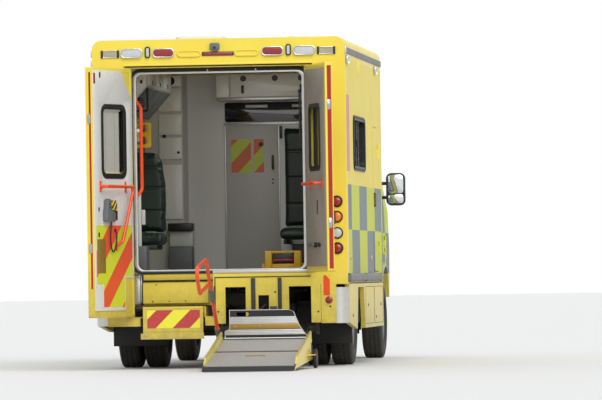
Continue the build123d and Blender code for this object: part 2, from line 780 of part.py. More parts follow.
def side_window():
    """Dark pane in a frame that laps over the wall outside."""
    low_y, high_y = SIDE_WINDOW_Y
    low_z, high_z = SIDE_WINDOW_Z
    pane = across(rounded((low_y + 1, high_y - 1), (low_z + 1, high_z - 1), 69), (BODY_HALF - 32, BODY_HALF - 20))
    ring = rounded((low_y - 22, high_y + 22), (low_z - 22, high_z + 22), 92)
    ring -= rounded((low_y + 18, high_y - 18), (low_z + 18, high_z - 18), 52)
    frame = across(ring, (BODY_HALF + SEAT_GAP, BODY_HALF + 8))
    rim_face = rounded((low_y + 1, high_y - 1), (low_z + 1, high_z - 1), 69)
    rim_face -= rounded((low_y + 18, high_y - 18), (low_z + 18, high_z - 18), 52)
    frame += across(rim_face, (BODY_HALF - 20, BODY_HALF + SEAT_GAP))
    return frame + pane


# Side door of the box, hinged at its front edge, and the outside locker

def side_door():
    low_y, high_y = SIDE_DOOR_Y[0] + DOOR_GAP, SIDE_DOOR_Y[1] - DOOR_GAP
    low_z, high_z = SIDE_DOOR_Z[0] + DOOR_GAP, SIDE_DOOR_Z[1] - DOOR_GAP
    face = rounded((low_y, high_y), (low_z, high_z), 54)
    face -= rounded((low_y + 130, high_y - 130), (1690, 2120), 60)
    door = across(face, (-BODY_HALF, -BODY_HALF + 44))
    door += across(rounded((low_y + 129, high_y - 129), (1689, 2121), 60), (-BODY_HALF + 14, -BODY_HALF + 22))
    pin_x = -BODY_HALF - HINGE_OUT
    door += hinge(pin_x, SIDE_DOOR_Y[1], SIDE_DOOR_HINGES, *SIDE_BARREL, (pin_x, -BODY_HALF),
                  (high_y - 70, SIDE_DOOR_Y[1]))
    handle = across(rounded((low_y + 40, low_y + 110), (1290, 1430), 16), (-BODY_HALF - 24, -BODY_HALF))
    return door + handle


def locker_door():
    low_y, high_y = LOCKER_Y[0] + DOOR_GAP, LOCKER_Y[1] - DOOR_GAP
    low_z, high_z = LOCKER_Z[0] + DOOR_GAP, LOCKER_Z[1] - DOOR_GAP
    door = across(rounded((low_y, high_y), (low_z, high_z), 26), (BODY_HALF - 34, BODY_HALF + 4))
    pin_x = BODY_HALF + 15
    door += hinge(pin_x, LOCKER_Y[1], LOCKER_HINGES, *LOCKER_BARREL, (BODY_HALF + 4, pin_x),
                  (high_y - 60, LOCKER_Y[1]))
    door += across(rounded((low_y + 25, low_y + 85), (1380, 1500), 14), (BODY_HALF + 4, BODY_HALF + 20))
    return door


def locker_box():
    """Box behind the outside locker door, open to the side."""
    skin = 12.0
    outer = block((720, BODY_HALF - WALL), (LOCKER_Y[0] - skin, LOCKER_Y[1] + skin), (FLOOR_TOP, LOCKER_Z[1] + skin))
    inner = block((720 + skin, BODY_HALF), LOCKER_Y, (FLOOR_TOP + skin, LOCKER_Z[1]))
    box = outer - inner
    for height in (1250, 1650):
        box += block((720, BODY_HALF - WALL - 10), LOCKER_Y, (height, height + skin))
    return box


save("side_door", side_door())
save("locker_door", locker_door())
save("side_locker", locker_box())


# Rear doors

def door_leaf(side, foot, meet, window):
    """One rear door, drawn closed on the right: a framed leaf with a window, hinges and latches."""
    top = OPENING_TOP - DOOR_GAP
    inner_edge, outer_edge = meet + DOOR_GAP / 2, OPENING_HALF - DOOR_GAP
    low_z, high_z = DOOR_WINDOW_Z
    leaf = rounded((inner_edge, outer_edge), (foot, top), 14)
    leaf -= rounded(window, DOOR_WINDOW_Z, 60)
    door = along(leaf, (0, DOOR_THICK))
    door += along(rounded((window[0] - 1, window[1] + 1), (low_z - 1, high_z + 1), 60), (18, 30))
    door += hinge(OPENING_HALF, -HINGE_OUT, REAR_HINGES, *REAR_BARREL, (OPENING_HALF - 110, OPENING_HALF),
                  (-HINGE_OUT, 0))
    for height in (1180, 2180):
        door += block((inner_edge - 1, inner_edge + 37), (22, 44), (height, height + 70))
    return door if side > 0 else mirror(door, about=Plane.YZ)


REAR_DOORS = (  # side, angle it stands open, foot, where it meets the other, X of its window
    ("left", -1, DOOR_OPEN_LEFT, WELL_SILL + DOOR_GAP, -DOOR_MEET, (240, 680)),
    ("right", 1, DOOR_OPEN_RIGHT, FLOOR_TOP - SILL_REBATE + DOOR_GAP, DOOR_MEET, (145, 585)),
)
for word, side, angle, foot, meet, window in REAR_DOORS:
    pin = Axis((side * OPENING_HALF, -HINGE_OUT, 0), (0, 0, 1))
    save(f"rear_door_{word}", door_leaf(side, foot, meet, window).rotate(pin, side * angle))


# Entry step that slides out as the left rear door opens

def entry_step():
    front, back = -STEP_OUT, -STEP_OUT + STEP_REACH
    tread = block((STEP_LEFT, STEP_RIGHT), (front, back), (STEP_TREAD - 28, STEP_TREAD))
    fascia = block((STEP_LEFT, STEP_RIGHT), (front, front + 12), (STEP_FOOT, STEP_TREAD))
    lip = block((STEP_LEFT - 20, STEP_RIGHT + 6), (front - 8, front + 12), (STEP_FOOT, STEP_FOOT + 50))
    body = tread + fascia + lip
    for x in (STEP_LEFT, STEP_RIGHT - 10):
        body += across(outline([
            (front, STEP_TREAD), (back, STEP_TREAD), (back, STEP_SIDE_FOOT), (front + 40, STEP_SIDE_FOOT),
            (front + 12, STEP_FOOT + 60), (front, STEP_FOOT + 60),
        ]), (x, x + 10))
    return body


save("entry_step", entry_step())


# Platform lift: arms, carriage, platform, flap and handrail

ARM_LENGTH = math.hypot(ARM_REACH, ARM_DROP)
CARRIAGE_PIN_Y = ARM_PIVOT_Y - ARM_REACH
CARRIAGE_PIN_Z = ARM_PIVOT_Z - ARM_DROP
PLATE_LENGTH = PLATE_INNER + PLATE_OUTER
# The slope that puts the lower corner of the outer edge on the ground
PLATE_SLOPE = math.degrees(
    math.asin(PLATE_EDGE_Z / math.hypot(PLATE_LENGTH, PLATE_THICK)) - math.atan2(PLATE_THICK, PLATE_LENGTH)
)
PLATE_PIVOT_Y = PLATE_EDGE_Y - 25 + PLATE_THICK / 2 * math.sin(math.radians(PLATE_SLOPE))
PLATE_PIVOT_Z = PLATE_EDGE_Z - PLATE_THICK / 2 * math.cos(math.radians(PLATE_SLOPE))
HANDRAIL_X = LIFT_LEFT - 26
HANDRAIL = (  # station, height
    (-285, 190),
    (-1240, 920),
    (-1965, 840),
    (-1720, 640),
    (-1130, 705),
)


def lift_arms():
    """Cross tube under the floor and two arms through the panel."""
    arms = rod_x((-50, 790), ARM_PIVOT_Y, ARM_PIVOT_Z, 35)
    half = ARM_DEPTH / 2
    for x in ARM_X:
        limits = (x - ARM_WIDTH / 2, x + ARM_WIDTH / 2)
        tilt = math.degrees(math.atan2(ARM_DROP, ARM_REACH))
        bar = Pos(x, 0, 0) * Box(ARM_WIDTH, ARM_LENGTH, ARM_DEPTH)
        bar += rod_x(limits, -ARM_LENGTH / 2, 0, half)
        bar += rod_x(limits, ARM_LENGTH / 2, 0, half + 8)
        middle = Pos(0, (ARM_PIVOT_Y + CARRIAGE_PIN_Y) / 2, (ARM_PIVOT_Z + CARRIAGE_PIN_Z) / 2)
        arms += middle * Rot(tilt, 0, 0) * bar
        arms -= rod_x((limits[0] - 1, limits[1] + 1), CARRIAGE_PIN_Y, CARRIAGE_PIN_Z, PIN_RADIUS + 0.05)
    return arms


def lift_carriage():
    """Bracket on the ends of the arms that carries the platform and stays level."""
    frame = None
    for x in ARM_X:
        half = ARM_WIDTH / 2
        for low in (x - half - 12, x + half + 2):
            ear = across(outline([
                (CARRIAGE_PIN_Y + 30, CARRIAGE_PIN_Z + 30),
                (CARRIAGE_PIN_Y + 30, CARRIAGE_PIN_Z - 40),
                (PLATE_EDGE_Y - 10, CARRIAGE_PIN_Z - 60),
                (PLATE_EDGE_Y - 10, PLATE_EDGE_Z - 60),
                (PLATE_EDGE_Y + 8, PLATE_EDGE_Z - 8),
                (PLATE_EDGE_Y + 34, PLATE_EDGE_Z - 8),
            ]), (low, low + 10))
            frame = ear if frame is None else frame + ear
        frame += rod_x((x - half - 16, x + half + 16), CARRIAGE_PIN_Y, CARRIAGE_PIN_Z, PIN_RADIUS)
    foot, top = PLATE_EDGE_Z - 150, PLATE_EDGE_Z - 60
    frame += block((LIFT_LEFT, LIFT_RIGHT), (PLATE_EDGE_Y - 10, PLATE_EDGE_Y + 8), (foot, top))
    for cheek in cheeks():
        frame += across(outline([
            (PLATE_EDGE_Y - 10, foot), (PLATE_EDGE_Y + 8, foot), (FLAP_HINGE_Y + LOBE, FLAP_HINGE_Z),
            (FLAP_HINGE_Y - LOBE, FLAP_HINGE_Z), (PLATE_PIVOT_Y + 2, PLATE_PIVOT_Z + 2),
            (PLATE_PIVOT_Y - LOBE, PLATE_PIVOT_Z),
        ]), cheek)
        for y, z, pin in ((FLAP_HINGE_Y, FLAP_HINGE_Z, FLAP_PIN), (PLATE_PIVOT_Y, PLATE_PIVOT_Z, PLATE_PIN)):
            frame += rod_x(cheek, y, z, LOBE)
            frame -= rod_x((cheek[0] - 1, cheek[1] + 1), y, z, pin + PIN_FIT)
    # Bracket and bolt of the handrail
    bracket = (LIFT_LEFT - 9, LIFT_LEFT + 1)
    rail_y, rail_z = HANDRAIL[0]
    frame += across(outline([
        (PLATE_EDGE_Y - 10, foot), (PLATE_EDGE_Y - 10, top), (rail_y, rail_z + 20), (rail_y + 20, rail_z + 20),
        (rail_y + 20, rail_z - 20), (PLATE_EDGE_Y + 40, foot),
    ]), bracket)
    frame += rod_x((HANDRAIL_X - RAIL_TUBE - 6, bracket[1]), rail_y, rail_z, PLATE_PIN)
    return frame


def cheeks():
    """Limits in X of the two upright hinge plates; the right one rises past the opened door."""
    left = LIFT_LEFT + CHEEK_IN
    right = LIFT_RIGHT - DOOR_CLEAR
    return (left, left + CHEEK), (right - CHEEK, right)


save("lift_arms", lift_arms())
save("lift_carriage", lift_carriage())


def platform():
    """Two sloping plates with side guards, drawn level and then tilted to the ground."""
    length = PLATE_LENGTH
    plate = across(outline([
        (-length, -PLATE_THICK), (-length + 60, 0), (0, 0), (0, -PLATE_THICK),
    ]), (LIFT_LEFT, LIFT_RIGHT))
    for low, high in ((LIFT_LEFT, LIFT_LEFT + 12), (LIFT_RIGHT - 12, LIFT_RIGHT)):
        plate += across(outline([
            (-length + 120, 0), (-length + 260, 55), (-70, 70), (-40, 60), (-40, 0),
        ]), (low, high))
    plate += rod_x((LIFT_LEFT + 60, LIFT_RIGHT - 60), 0, -PLATE_THICK / 2, PLATE_THICK / 2)
    # Corners notched round the hinge cheeks, with the pin across them
    left, right = cheeks()
    for limits in ((LIFT_LEFT - 1, left[1] + CHEEK_SLACK), (right[0] - CHEEK_SLACK, LIFT_RIGHT + 1)):
        plate -= block(limits, (-22, PLATE_THICK), (-PLATE_THICK - 1, 1))
    plate += rod_x((left[0], right[1]), 0, -PLATE_THICK / 2, PLATE_PIN)
    plate = Pos(0, PLATE_EDGE_Y - 25, PLATE_EDGE_Z) * Rot(PLATE_SLOPE, 0, 0) * plate
    return plate + roller_bracket()


def roller_bracket():
    """Folded bracket under the right edge of the platform, with the stub axle of the roller."""
    edge = (LIFT_RIGHT - 10, LIFT_RIGHT - 2)
    web = across(outline([
        (ROLLER_Y + 45, 225), (ROLLER_Y + 45, 66), (ROLLER_Y - 45, 66), (-1700, 24), (-1700, 40),
    ]), edge)
    shelf = block((edge[0], ROLLER_X[1]), (-820, ROLLER_Y - ROLLER_RADIUS - 14), (112, 118))
    return web + shelf + rod_x((edge[0], ROLLER_X[1] - 8), ROLLER_Y, ROLLER_RADIUS + ROLLER_LIFT, PLATE_PIN)


def ground_roller():
    """Small solid wheel that takes the edge of the lowered platform."""
    height = ROLLER_RADIUS + ROLLER_LIFT
    wheel = rod_x(ROLLER_X, ROLLER_Y, height, ROLLER_RADIUS)
    wheel = fillet(wheel.edges(), 7)
    return wheel - rod_x((ROLLER_X[0] - 1, ROLLER_X[1] - 6), ROLLER_Y, height, PLATE_PIN + PIN_FIT)


def flap():
    """Bridge plate at the inner edge, raised as a stop."""
    left, right = cheeks()
    low, high = left[1] + CHEEK_SLACK + 2, right[0] - CHEEK_SLACK
    face = outline([
        (low, 0), (high, 0), (high - 45, 55), (high - 80, 110), (high - 125, FLAP_HEIGHT - 20),
        (high - 170, FLAP_HEIGHT), (low + 40, FLAP_HEIGHT), (low + 40, 80), (low, 60),
    ])
    hole = Pos(low + 150, FLAP_HEIGHT - 38) * SlotOverall(110, 34)
    plate = along(face - hole, (-8, 8))
    plate += rod_x((low, high), 0, 0, 11)
    plate += rod_x((left[0], right[1]), 0, 0, FLAP_PIN)
    return Pos(0, FLAP_HINGE_Y, FLAP_HINGE_Z) * plate


def handrail():
    """Round tube post leaning back, with a loop at the top."""
    foot_y, foot_z = HANDRAIL[0]
    points = [(HANDRAIL_X, y, z) for y, z in HANDRAIL]
    rail = tube(points, RAIL_TUBE, [90, 60, 60])
    eye = (HANDRAIL_X - RAIL_TUBE, HANDRAIL_X + RAIL_TUBE)
    rail += rod_x(eye, foot_y, foot_z, RAIL_TUBE + 4)
    return rail - rod_x((eye[0] - 1, eye[1] + 1), foot_y, foot_z, PLATE_PIN + PIN_FIT)


save("lift_platform", platform())
save("ground_roller", ground_roller())
save("lift_flap", flap())
save("lift_handrail", handrail())


# Cab

CAB_SIDE = (  # station, height, corner radius
    (CAB_REAR, CAB_FOOT, 0),
    (CAB_REAR, CAB_ROOF - 65, 0),
    (CAB_REAR + 70, CAB_ROOF - 8, 60),
    (4330, CAB_ROOF, 300),
    (4480, CAB_ROOF - 65, 120),
    (5270, 1430, 60),
    (5370, 1375, 80),
    (5750, 1180, 160),
    (5880, 960, 120),
    (CAB_NOSE, 720, 60),
    (CAB_NOSE, CAB_FOOT, 0),
)
CAB_FRONT = (  # X, height, corner radius
    (-CAB_HALF + 10, CAB_FOOT, 0),
    (CAB_HALF - 10, CAB_FOOT, 0),
    (CAB_HALF, 980, 300),
    (CAB_HALF - 20, 1400, 200),
    (CAB_HALF - 100, CAB_ROOF - 115, 120),
    (CAB_HALF - 190, CAB_ROOF + 2, 100),
    (-CAB_HALF + 190, CAB_ROOF + 2, 100),
    (-CAB_HALF + 100, CAB_ROOF - 115, 120),
    (-CAB_HALF + 20, 1400, 200),
    (-CAB_HALF, 980, 300),
)
CAB_PLAN = (  # X, station, corner radius
    (-CAB_HALF, CAB_REAR, 0),
    (CAB_HALF, CAB_REAR, 0),
    (CAB_HALF, 5350, 300),
    (CAB_HALF - 190, 5800, 160),
    (420, CAB_NOSE, 200),
    (-420, CAB_NOSE, 200),
    (-CAB_HALF + 190, 5800, 160),
    (-CAB_HALF, 5350, 300),
)


def from_table(rows, inset=0.0):
    """A face from rows of two coordinates and a corner radius."""
    face = outline([(row[0], row[1]) for row in rows], [row[2] for row in rows])
    if inset:
        face = offset(face, -inset)
    return face


def cab_form(inset):
    """The form of the cab where its side, front and plan outlines meet."""
    side = across(from_table(CAB_SIDE, inset), (-CAB_HALF - 10, CAB_HALF + 10))
    front = along(from_table(CAB_FRONT, inset), (CAB_REAR - 10, CAB_NOSE + 10))
    plan = upward(from_table(CAB_PLAN, inset), (CAB_FOOT - 10, CAB_ROOF + 10))
    return side & front & plan


DOOR_FOOT = CAB_FOOT + CAB_WALL + 8
CAB_DOOR = (  # station, height, corner radius
    (CAB_DOOR_REAR, DOOR_FOOT, 40),
    (CAB_DOOR_REAR, CAB_ROOF - 150, 60),
    (4310, CAB_ROOF - 135, 120),
    (CAB_DOOR_FRONT, 1690, 60),
    (CAB_DOOR_FRONT, 860, 40),
    (4520, DOOR_FOOT, 60),
)
CAB_DOOR_WINDOW = (
    (CAB_DOOR_REAR + 90, 1420, 40),
    (CAB_DOOR_REAR + 90, CAB_ROOF - 245, 60),
    (4260, CAB_ROOF - 235, 100),
    (CAB_DOOR_FRONT - 85, 1640, 50),
    (CAB_DOOR_FRONT - 85, 1380, 40),
)
CAB_PIN_X = CAB_HALF + 10
CAB_PIN_Y = 4778.0
CAB_BARREL = 50.0
CAB_BARREL_HEIGHTS = (930.0, 1040.0)
CAB_HINGES = (  # height, X of the inside and of the outside of the leaf
    (950, 955, 980),
    (1450, 925, 955),
)
BONNET_THICK = 24.0
BONNET_LIP = 26.0
BONNET_PLAN = (
    (-760, 5390, 60),
    (760, 5390, 60),
    (700, 5790, 80),
    (-700, 5790, 80),
)
BUMPER_TOP = 740.0
GRILLE_HALF = 520.0
GRILLE_Z = (800.0, 1060.0)
HEADLAMP = ((570, 810), (940, 860), (940, 1040), (580, 960))
WINDSCREEN = (  # X, height
    (-800, 1500, 90),
    (800, 1500, 90),
    (740, CAB_ROOF - 135, 90),
    (-740, CAB_ROOF - 135, 90),
)

outer_form = cab_form(0)
inner_form = cab_form(CAB_WALL)
# The hollow of the cabin behind the firewall, and the engine bay in front of it
cabin_room = inner_form & block((-1000, 1000), (CAB_REAR, FIREWALL), (CAB_FLOOR, CAB_ROOF))
bay_room = inner_form & block((-800, 800), (FIREWALL + 40, 5830), (CAB_FOOT + CAB_WALL, 1400))
skin = outer_form - inner_form


def arch(side, extra=0.0):
    """The space of a front wheel as it turns."""
    low, high = sorted((side * 530, side * 1100))
    return rod_x((low, high), FRONT_AXLE, TYRE_RADIUS + 60, ARCH_RADIUS + extra)


def cab_shell():
    shell = outer_form - cabin_room - bay_room
    shell -= block((-600, 600), (CAB_REAR - 1, 5750), (CAB_FOOT - 1, CAB_FLOOR - 45))
    for side in (-1, 1):
        low, high = sorted((side * 700, side * 1100))
        shell -= across(from_table(CAB_DOOR), (low, high))
        shell -= arch(side)
    # The bonnet lies on a lip round the engine bay
    shell -= upward(from_table(BONNET_PLAN, BONNET_LIP), (1100, 1500))
    shell -= upward(from_table(BONNET_PLAN), (1100, 1500)) & (outer_form - cab_form(BONNET_THICK + SEAT_GAP))
    for side in (-1, 1):
        for height, inside, outside in CAB_HINGES:
            leaf_y = (CAB_DOOR_FRONT - CAB_DOOR_GAP + SEAT_GAP, CAB_DOOR_FRONT + 2)
            shell += block(sorted((side * inside, side * outside)), leaf_y, (height, height + 90))
        fixed = above(CAB_BARREL_HEIGHTS, CAB_BARREL)
        shell += cab_barrels(side, fixed, FIXED_BARREL, CAB_HALF + 2, (CAB_PIN_Y, CAB_PIN_Y + 60))
        for height in fixed:
            pad_x = sorted((side * (CAB_HALF - 10), side * CAB_PIN_X))
            shell += block(pad_x, (CAB_DOOR_FRONT + 5, CAB_PIN_Y + 60), (height, height + FIXED_BARREL))
    shell -= along(from_table(WINDSCREEN), (4300, 5380))
    shell -= block((-1000, 1000), (5480, CAB_NOSE + 5), (CAB_FOOT - 1, BUMPER_TOP))
    shell -= along(rounded((-GRILLE_HALF, GRILLE_HALF), GRILLE_Z, 60), (5700, CAB_NOSE + 5))
    for lamp in both_sides(along(offset(outline(HEADLAMP, 40), 2), (5500, CAB_NOSE))):
        shell -= lamp & (outer_form - cab_form(40 + SEAT_GAP))
    return shell


def cab_barrels(side, heights, length, leaf_in, leaf_y):
    """Knuckles outside the skin at the front edge of a door."""
    leaf_x = sorted((side * CAB_PIN_X, side * leaf_in))
    return hinge(side * CAB_PIN_X, CAB_PIN_Y, heights, length, 8, leaf_x, leaf_y)


def cab_door(side):
    """A door as thick as the wall of the cab, with its window cut."""
    low, high = sorted((side * 700, side * 1100))
    face = offset(from_table(CAB_DOOR), -CAB_DOOR_GAP)
    door = (outer_form - cab_form(CAB_WALL - 2)) & across(face, (low, high))
    door -= across(from_table(CAB_DOOR_WINDOW), (low, high))
    door += cab_barrels(side, CAB_BARREL_HEIGHTS, CAB_BARREL, CAB_HALF - 10, (CAB_PIN_Y - 60, CAB_PIN_Y))
    return door - arch(side, CAB_DOOR_GAP)


def cab_pane(side):
    low, high = sorted((side * 700, side * 1100))
    return (cab_form(16) - cab_form(21)) & across(offset(from_table(CAB_DOOR_WINDOW), -0.3), (low, high))


def windscreen():
    glass = cab_form(14) - cab_form(20)
    return glass & along(offset(from_table(WINDSCREEN), -SEAT_GAP), (4200, 5400)) & block(
        (-900, 900), (4300, 5378), (1400, 2300))


def bonnet():
    return (outer_form - cab_form(BONNET_THICK)) & upward(from_table(BONNET_PLAN, 6), (1100, 1500))


save("cab_shell", cab_shell())
save("fixed_windows", windscreen(), both_sides(side_window()))
save("bonnet", bonnet())
for side, word in ((-1, "left"), (1, "right")):
    save(f"cab_door_{word}", cab_door(side))
    save(f"cab_window_{word}", cab_pane(side))


def front_bumper():
    """Deep plastic bumper round the nose, with a lower grille slot."""
    top = BUMPER_TOP - SEAT_GAP
    form = upward(from_table(CAB_PLAN), (340, top)) & block((-1000, 1000), (5482, CAB_NOSE + 5), (330, top))
    hollow = upward(from_table(CAB_PLAN, 60), (330, 750)) & block((-900, 900), (5400, CAB_NOSE), (330, 750))
    bumper = form - hollow
    bumper -= along(rounded((-480, 480), (440, 560), 30), (5800, CAB_NOSE + 5))
    for side in (-1, 1):
        bumper -= arch(side)
    return bumper


def grille():
    """Upper grille: a surround with level bars."""
    half = GRILLE_HALF - SEAT_GAP
    surround = rounded((-half, half), (GRILLE_Z[0] + SEAT_GAP, GRILLE_Z[1] - SEAT_GAP), 60 - SEAT_GAP)
    surround -= rounded((-half + 36, half - 36), (GRILLE_Z[0] + 36, GRILLE_Z[1] - 36), 34)
    piece = along(surround, (5790, 5850))
    for height in (870, 920, 970):
        piece += block((-490, 490), (5800, 5830), (height, height + 16))
    return piece


def headlamps():
    return (outer_form - cab_form(40)) & along(outline(HEADLAMP, 40), (5500, CAB_NOSE))


save("front_bumper", front_bumper())
save("grille_and_headlamps", grille(), both_sides(headlamps()))


MIRROR_Y = 4690.0


def mirror_head(side):
    """Door mirror on two short arms."""
    low, high = sorted((side * 1020, side * 1195))
    head = along(rounded((low, high), (1410, 1710), 50), (MIRROR_Y, MIRROR_Y + 90))
    head = fillet(head.edges().group_by(Axis.Y)[-1], 24)
    arm_x = sorted((side * 920, side * 1030))
    for height in (1470, 1600):
        head += block(arm_x, (MIRROR_Y + 30, MIRROR_Y + 62), (height, height + 30)) - outer_form
    return head


for side, word in ((-1, "left"), (1, "right")):
    save(f"mirror_{word}", mirror_head(side))


# Fairing over the cab, with the light bar on top

FAIRING_FOOT = CAB_ROOF + 5
FAIRING_TOP = ROOF_TOP - 20
FAIRING_RISE = FAIRING_TOP - FAIRING_FOOT
FAIRING_NOSE = 4430.0
FAIRING_NOSE_HALF = BODY_HALF - 215.0
FAIRING_SIDE = (  # station, height, corner radius
    (BOX_FRONT, FAIRING_FOOT, 0),
    (BOX_FRONT, FAIRING_TOP, 0),
    (BOX_FRONT + 170, FAIRING_TOP - 20, FAIRING_RISE / 2),
    (FAIRING_NOSE - 50, FAIRING_FOOT + 60, FAIRING_RISE / 5),
    (FAIRING_NOSE, FAIRING_FOOT, 20),
)
FAIRING_FRONT = (  # X, height, corner radius
    (135 - BODY_HALF, FAIRING_FOOT, 0),
    (BODY_HALF - 135, FAIRING_FOOT, 0),
    (BODY_HALF - 35, FAIRING_TOP, FAIRING_RISE / 4),
    (35 - BODY_HALF, FAIRING_TOP, FAIRING_RISE / 4),
)
FAIRING_PLAN = (  # X, station, corner radius
    (15 - BODY_HALF, BOX_FRONT, 0),
    (BODY_HALF - 15, BOX_FRONT, 0),
    (FAIRING_NOSE_HALF, FAIRING_NOSE, 120),
    (-FAIRING_NOSE_HALF, FAIRING_NOSE, 120),
)


def fairing():
    side = across(from_table(FAIRING_SIDE), (-BODY_HALF, BODY_HALF))
    front = along(from_table(FAIRING_FRONT), (BOX_FRONT, FAIRING_NOSE + 10))
    plan = upward(from_table(FAIRING_PLAN), (CAB_ROOF, ROOF_TOP))
    return side & front & plan


def light_bar():
    bar = block((-620, 620), (3560, 3700), (ROOF_TOP - 60, ROOF_TOP + 48))
    return fillet(bar.edges().filter_by(Axis.Z), 40) - fairing_form


fairing_form = fairing()
save("cab_fairing", fairing_form)
save("roof_fittings", light_bar(), roof_vent())


# Inside of the cab

SEAT_X = (-520.0, 520.0)
COLUMN_TILT = 50.0
COLUMN = Pos(SEAT_X[1], 4760, 1330) * Rot(COLUMN_TILT, 0, 0)


def dashboard():
    form = across(outline([
        (FIREWALL, CAB_FLOOR + 350), (FIREWALL, 1400), (5000, 1390), (4880, 1300), (4860, 1150),
        (4980, 1040), (5000, CAB_FLOOR + 350)], [0, 0, 60, 40, 40, 40, 0]), (-880, 880))
    shroud = COLUMN * Pos(0, 0, -120.3) * Cylinder(44, 200)
    return (form & inner_form) + shroud


def cab_seats():
    seats = []
    for x in SEAT_X:
        base = block((x - 210, x + 210), (4080, 4480), (CAB_FLOOR, CAB_FLOOR + 300))
        cushion = block((x - 250, x + 250), (4040, 4540), (CAB_FLOOR + 300, CAB_FLOOR + 420))
        back = across(outline([(3980, 1180), (4120, 1200), (3960, 1900), (3850, 1890)], 30), (x - 240, x + 240))
        seats.append(base + cushion + back)
    return seats


def steering_wheel():
    ring = Torus(190, 15)
    hub = Cylinder(55, 40)
    spokes = Box(370, 36, 18) + Pos(0, -95, 0) * Box(36, 190, 18)
    wheel = ring + hub + spokes
    return COLUMN * wheel


save("dashboard", dashboard())
save("cab_seats", cab_seats())
save("steering_wheel", steering_wheel())


# Inside of the saloon

def saloon_cabinets():
    """Lockers over the left bench, cupboards on the bulkhead and the locker over the seat."""
    left_wall = -BODY_HALF + WALL + SEAT_GAP
    over = along(outline([
        (left_wall, 2180), (left_wall + 120, 2180), (left_wall + 330, 2420), (left_wall + 330, 2600),
        (left_wall, 2600)]), (720, 2400))
    column = block((left_wall, -680), (3120, BOX_FRONT - BULKHEAD), (FLOOR_TOP, 2600))
    overhead = block((-380, 440), (3150, BOX_FRONT - BULKHEAD), (2360, 2600))
    return [over, column, overhead]


def saloon_seats():
    """A folding seat on the left wall and a rear-facing seat at the bulkhead."""
    wall = -BODY_HALF + WALL + SEAT_GAP
    side_seat = block((wall, -640), (1250, 1700), (1060, 1160))
    side_seat += block((wall, -640), (1610, 1740), (1160, 1890))
    rear_seat = block((170, 600), (2950, 3400), (1100, 1200))
    rear_seat += block((170, 600), (3400, BOX_FRONT - BULKHEAD), (1100, 2140))
    return [side_seat, rear_seat]


save("saloon_cabinets", saloon_cabinets())
save("saloon_seats", saloon_seats())


def stretcher_lock():
    """Stretcher lock on the floor."""
    return block((200, 560), (1400, 2300), (FLOOR_TOP, FLOOR_TOP + 60))


def grab_rail():
    """Upright rail that stands off the left wall."""
    wall = -BODY_HALF + WALL + SEAT_GAP
    return tube([(wall, 620, 2290), (-900, 620, 2290), (-900, 620, 1470), (wall, 620, 1470)], 16, 60)


save("saloon_fittings", stretcher_lock(), grab_rail())
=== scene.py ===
import bmesh
import bpy
import math
from mathutils import Matrix, Vector


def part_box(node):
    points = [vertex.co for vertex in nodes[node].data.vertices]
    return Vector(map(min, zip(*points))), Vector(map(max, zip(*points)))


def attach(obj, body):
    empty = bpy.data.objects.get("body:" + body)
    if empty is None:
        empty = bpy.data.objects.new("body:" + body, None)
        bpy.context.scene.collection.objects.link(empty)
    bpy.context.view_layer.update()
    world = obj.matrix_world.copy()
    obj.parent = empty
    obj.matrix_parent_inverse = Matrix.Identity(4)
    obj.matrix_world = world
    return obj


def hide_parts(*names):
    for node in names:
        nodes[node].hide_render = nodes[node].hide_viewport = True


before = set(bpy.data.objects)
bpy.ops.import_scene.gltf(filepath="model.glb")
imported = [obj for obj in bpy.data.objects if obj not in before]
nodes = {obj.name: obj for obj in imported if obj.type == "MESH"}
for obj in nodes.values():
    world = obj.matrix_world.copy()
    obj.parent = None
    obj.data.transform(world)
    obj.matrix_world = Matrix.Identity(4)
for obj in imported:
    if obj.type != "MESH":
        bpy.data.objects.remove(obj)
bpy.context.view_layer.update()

# The frame that everything is placed by, in metres: +X right, +Y forward, +Z up.
# A station is the distance forward of the rear face of the body.
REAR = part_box("lift_panel")[0].y
# The rub rail stands out of the panel of the wall by this much
RUB_RAIL_OUT = 0.026
BODY_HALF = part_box("saloon_wall_right")[1].x - RUB_RAIL_OUT
# Trim starts off a painted face by SKIN, off other solids by HAIR, and films and ribs by FILM_GAP
SKIN = 0.001
HAIR = 0.0005
FILM_GAP = 0.0002


def station(metres):
    """The Y of a distance forward of the rear face."""
    return REAR + metres


# Finishes, with their colours written as sRGB hex

def linear(colour):
    """An sRGB hex string as linear red, green, blue and alpha."""
    values = [int(colour[i:i + 2], 16) / 255 for i in (1, 3, 5)]
    return [v / 12.92 if v <= 0.04045 else ((v + 0.055) / 1.055) ** 2.4 for v in values] + [1.0]


def add(tree, kind, inputs=None, **settings):
    """Add a node. Its inputs are values, hex colours, or the sockets or nodes that they are linked to."""
    made = tree.nodes.new("ShaderNode" + kind)
    for name, value in settings.items():
        setattr(made, name, value)
    for name, value in (inputs or {}).items():
        if isinstance(value, bpy.types.Node):
            value = next(socket for socket in value.outputs if socket.enabled)
        if isinstance(value, bpy.types.NodeSocket):
            tree.links.new(value, made.inputs[name])
        else:
            made.inputs[name].default_value = linear(value) if isinstance(value, str) else value
    return made


def start(name):
    """A new material, its empty tree and its object coordinates."""
    material = bpy.data.materials.new(name)
    material.use_nodes = True
    tree = material.node_tree
    tree.nodes.clear()
    return material, tree, add(tree, "TexCoord").outputs["Object"]


def finished(material, inputs):
    """Close a material with its shader."""
    shader = add(material.node_tree, "BsdfPrincipled", inputs)
    add(material.node_tree, "OutputMaterial", {"Surface": shader})
    return material


MM = 0.001


def mottled(tree, place, size_mm, detail=2.0, roughness=0.5, stretch=(1, 1, 1)):
    """Noise whose features are about size_mm across."""
    mapping = add(tree, "Mapping", {"Vector": place, "Scale": stretch})
    return add(tree, "TexNoise", {"Vector": mapping, "Scale": 1000.0 / size_mm, "Detail": detail,
                                  "Roughness": roughness})


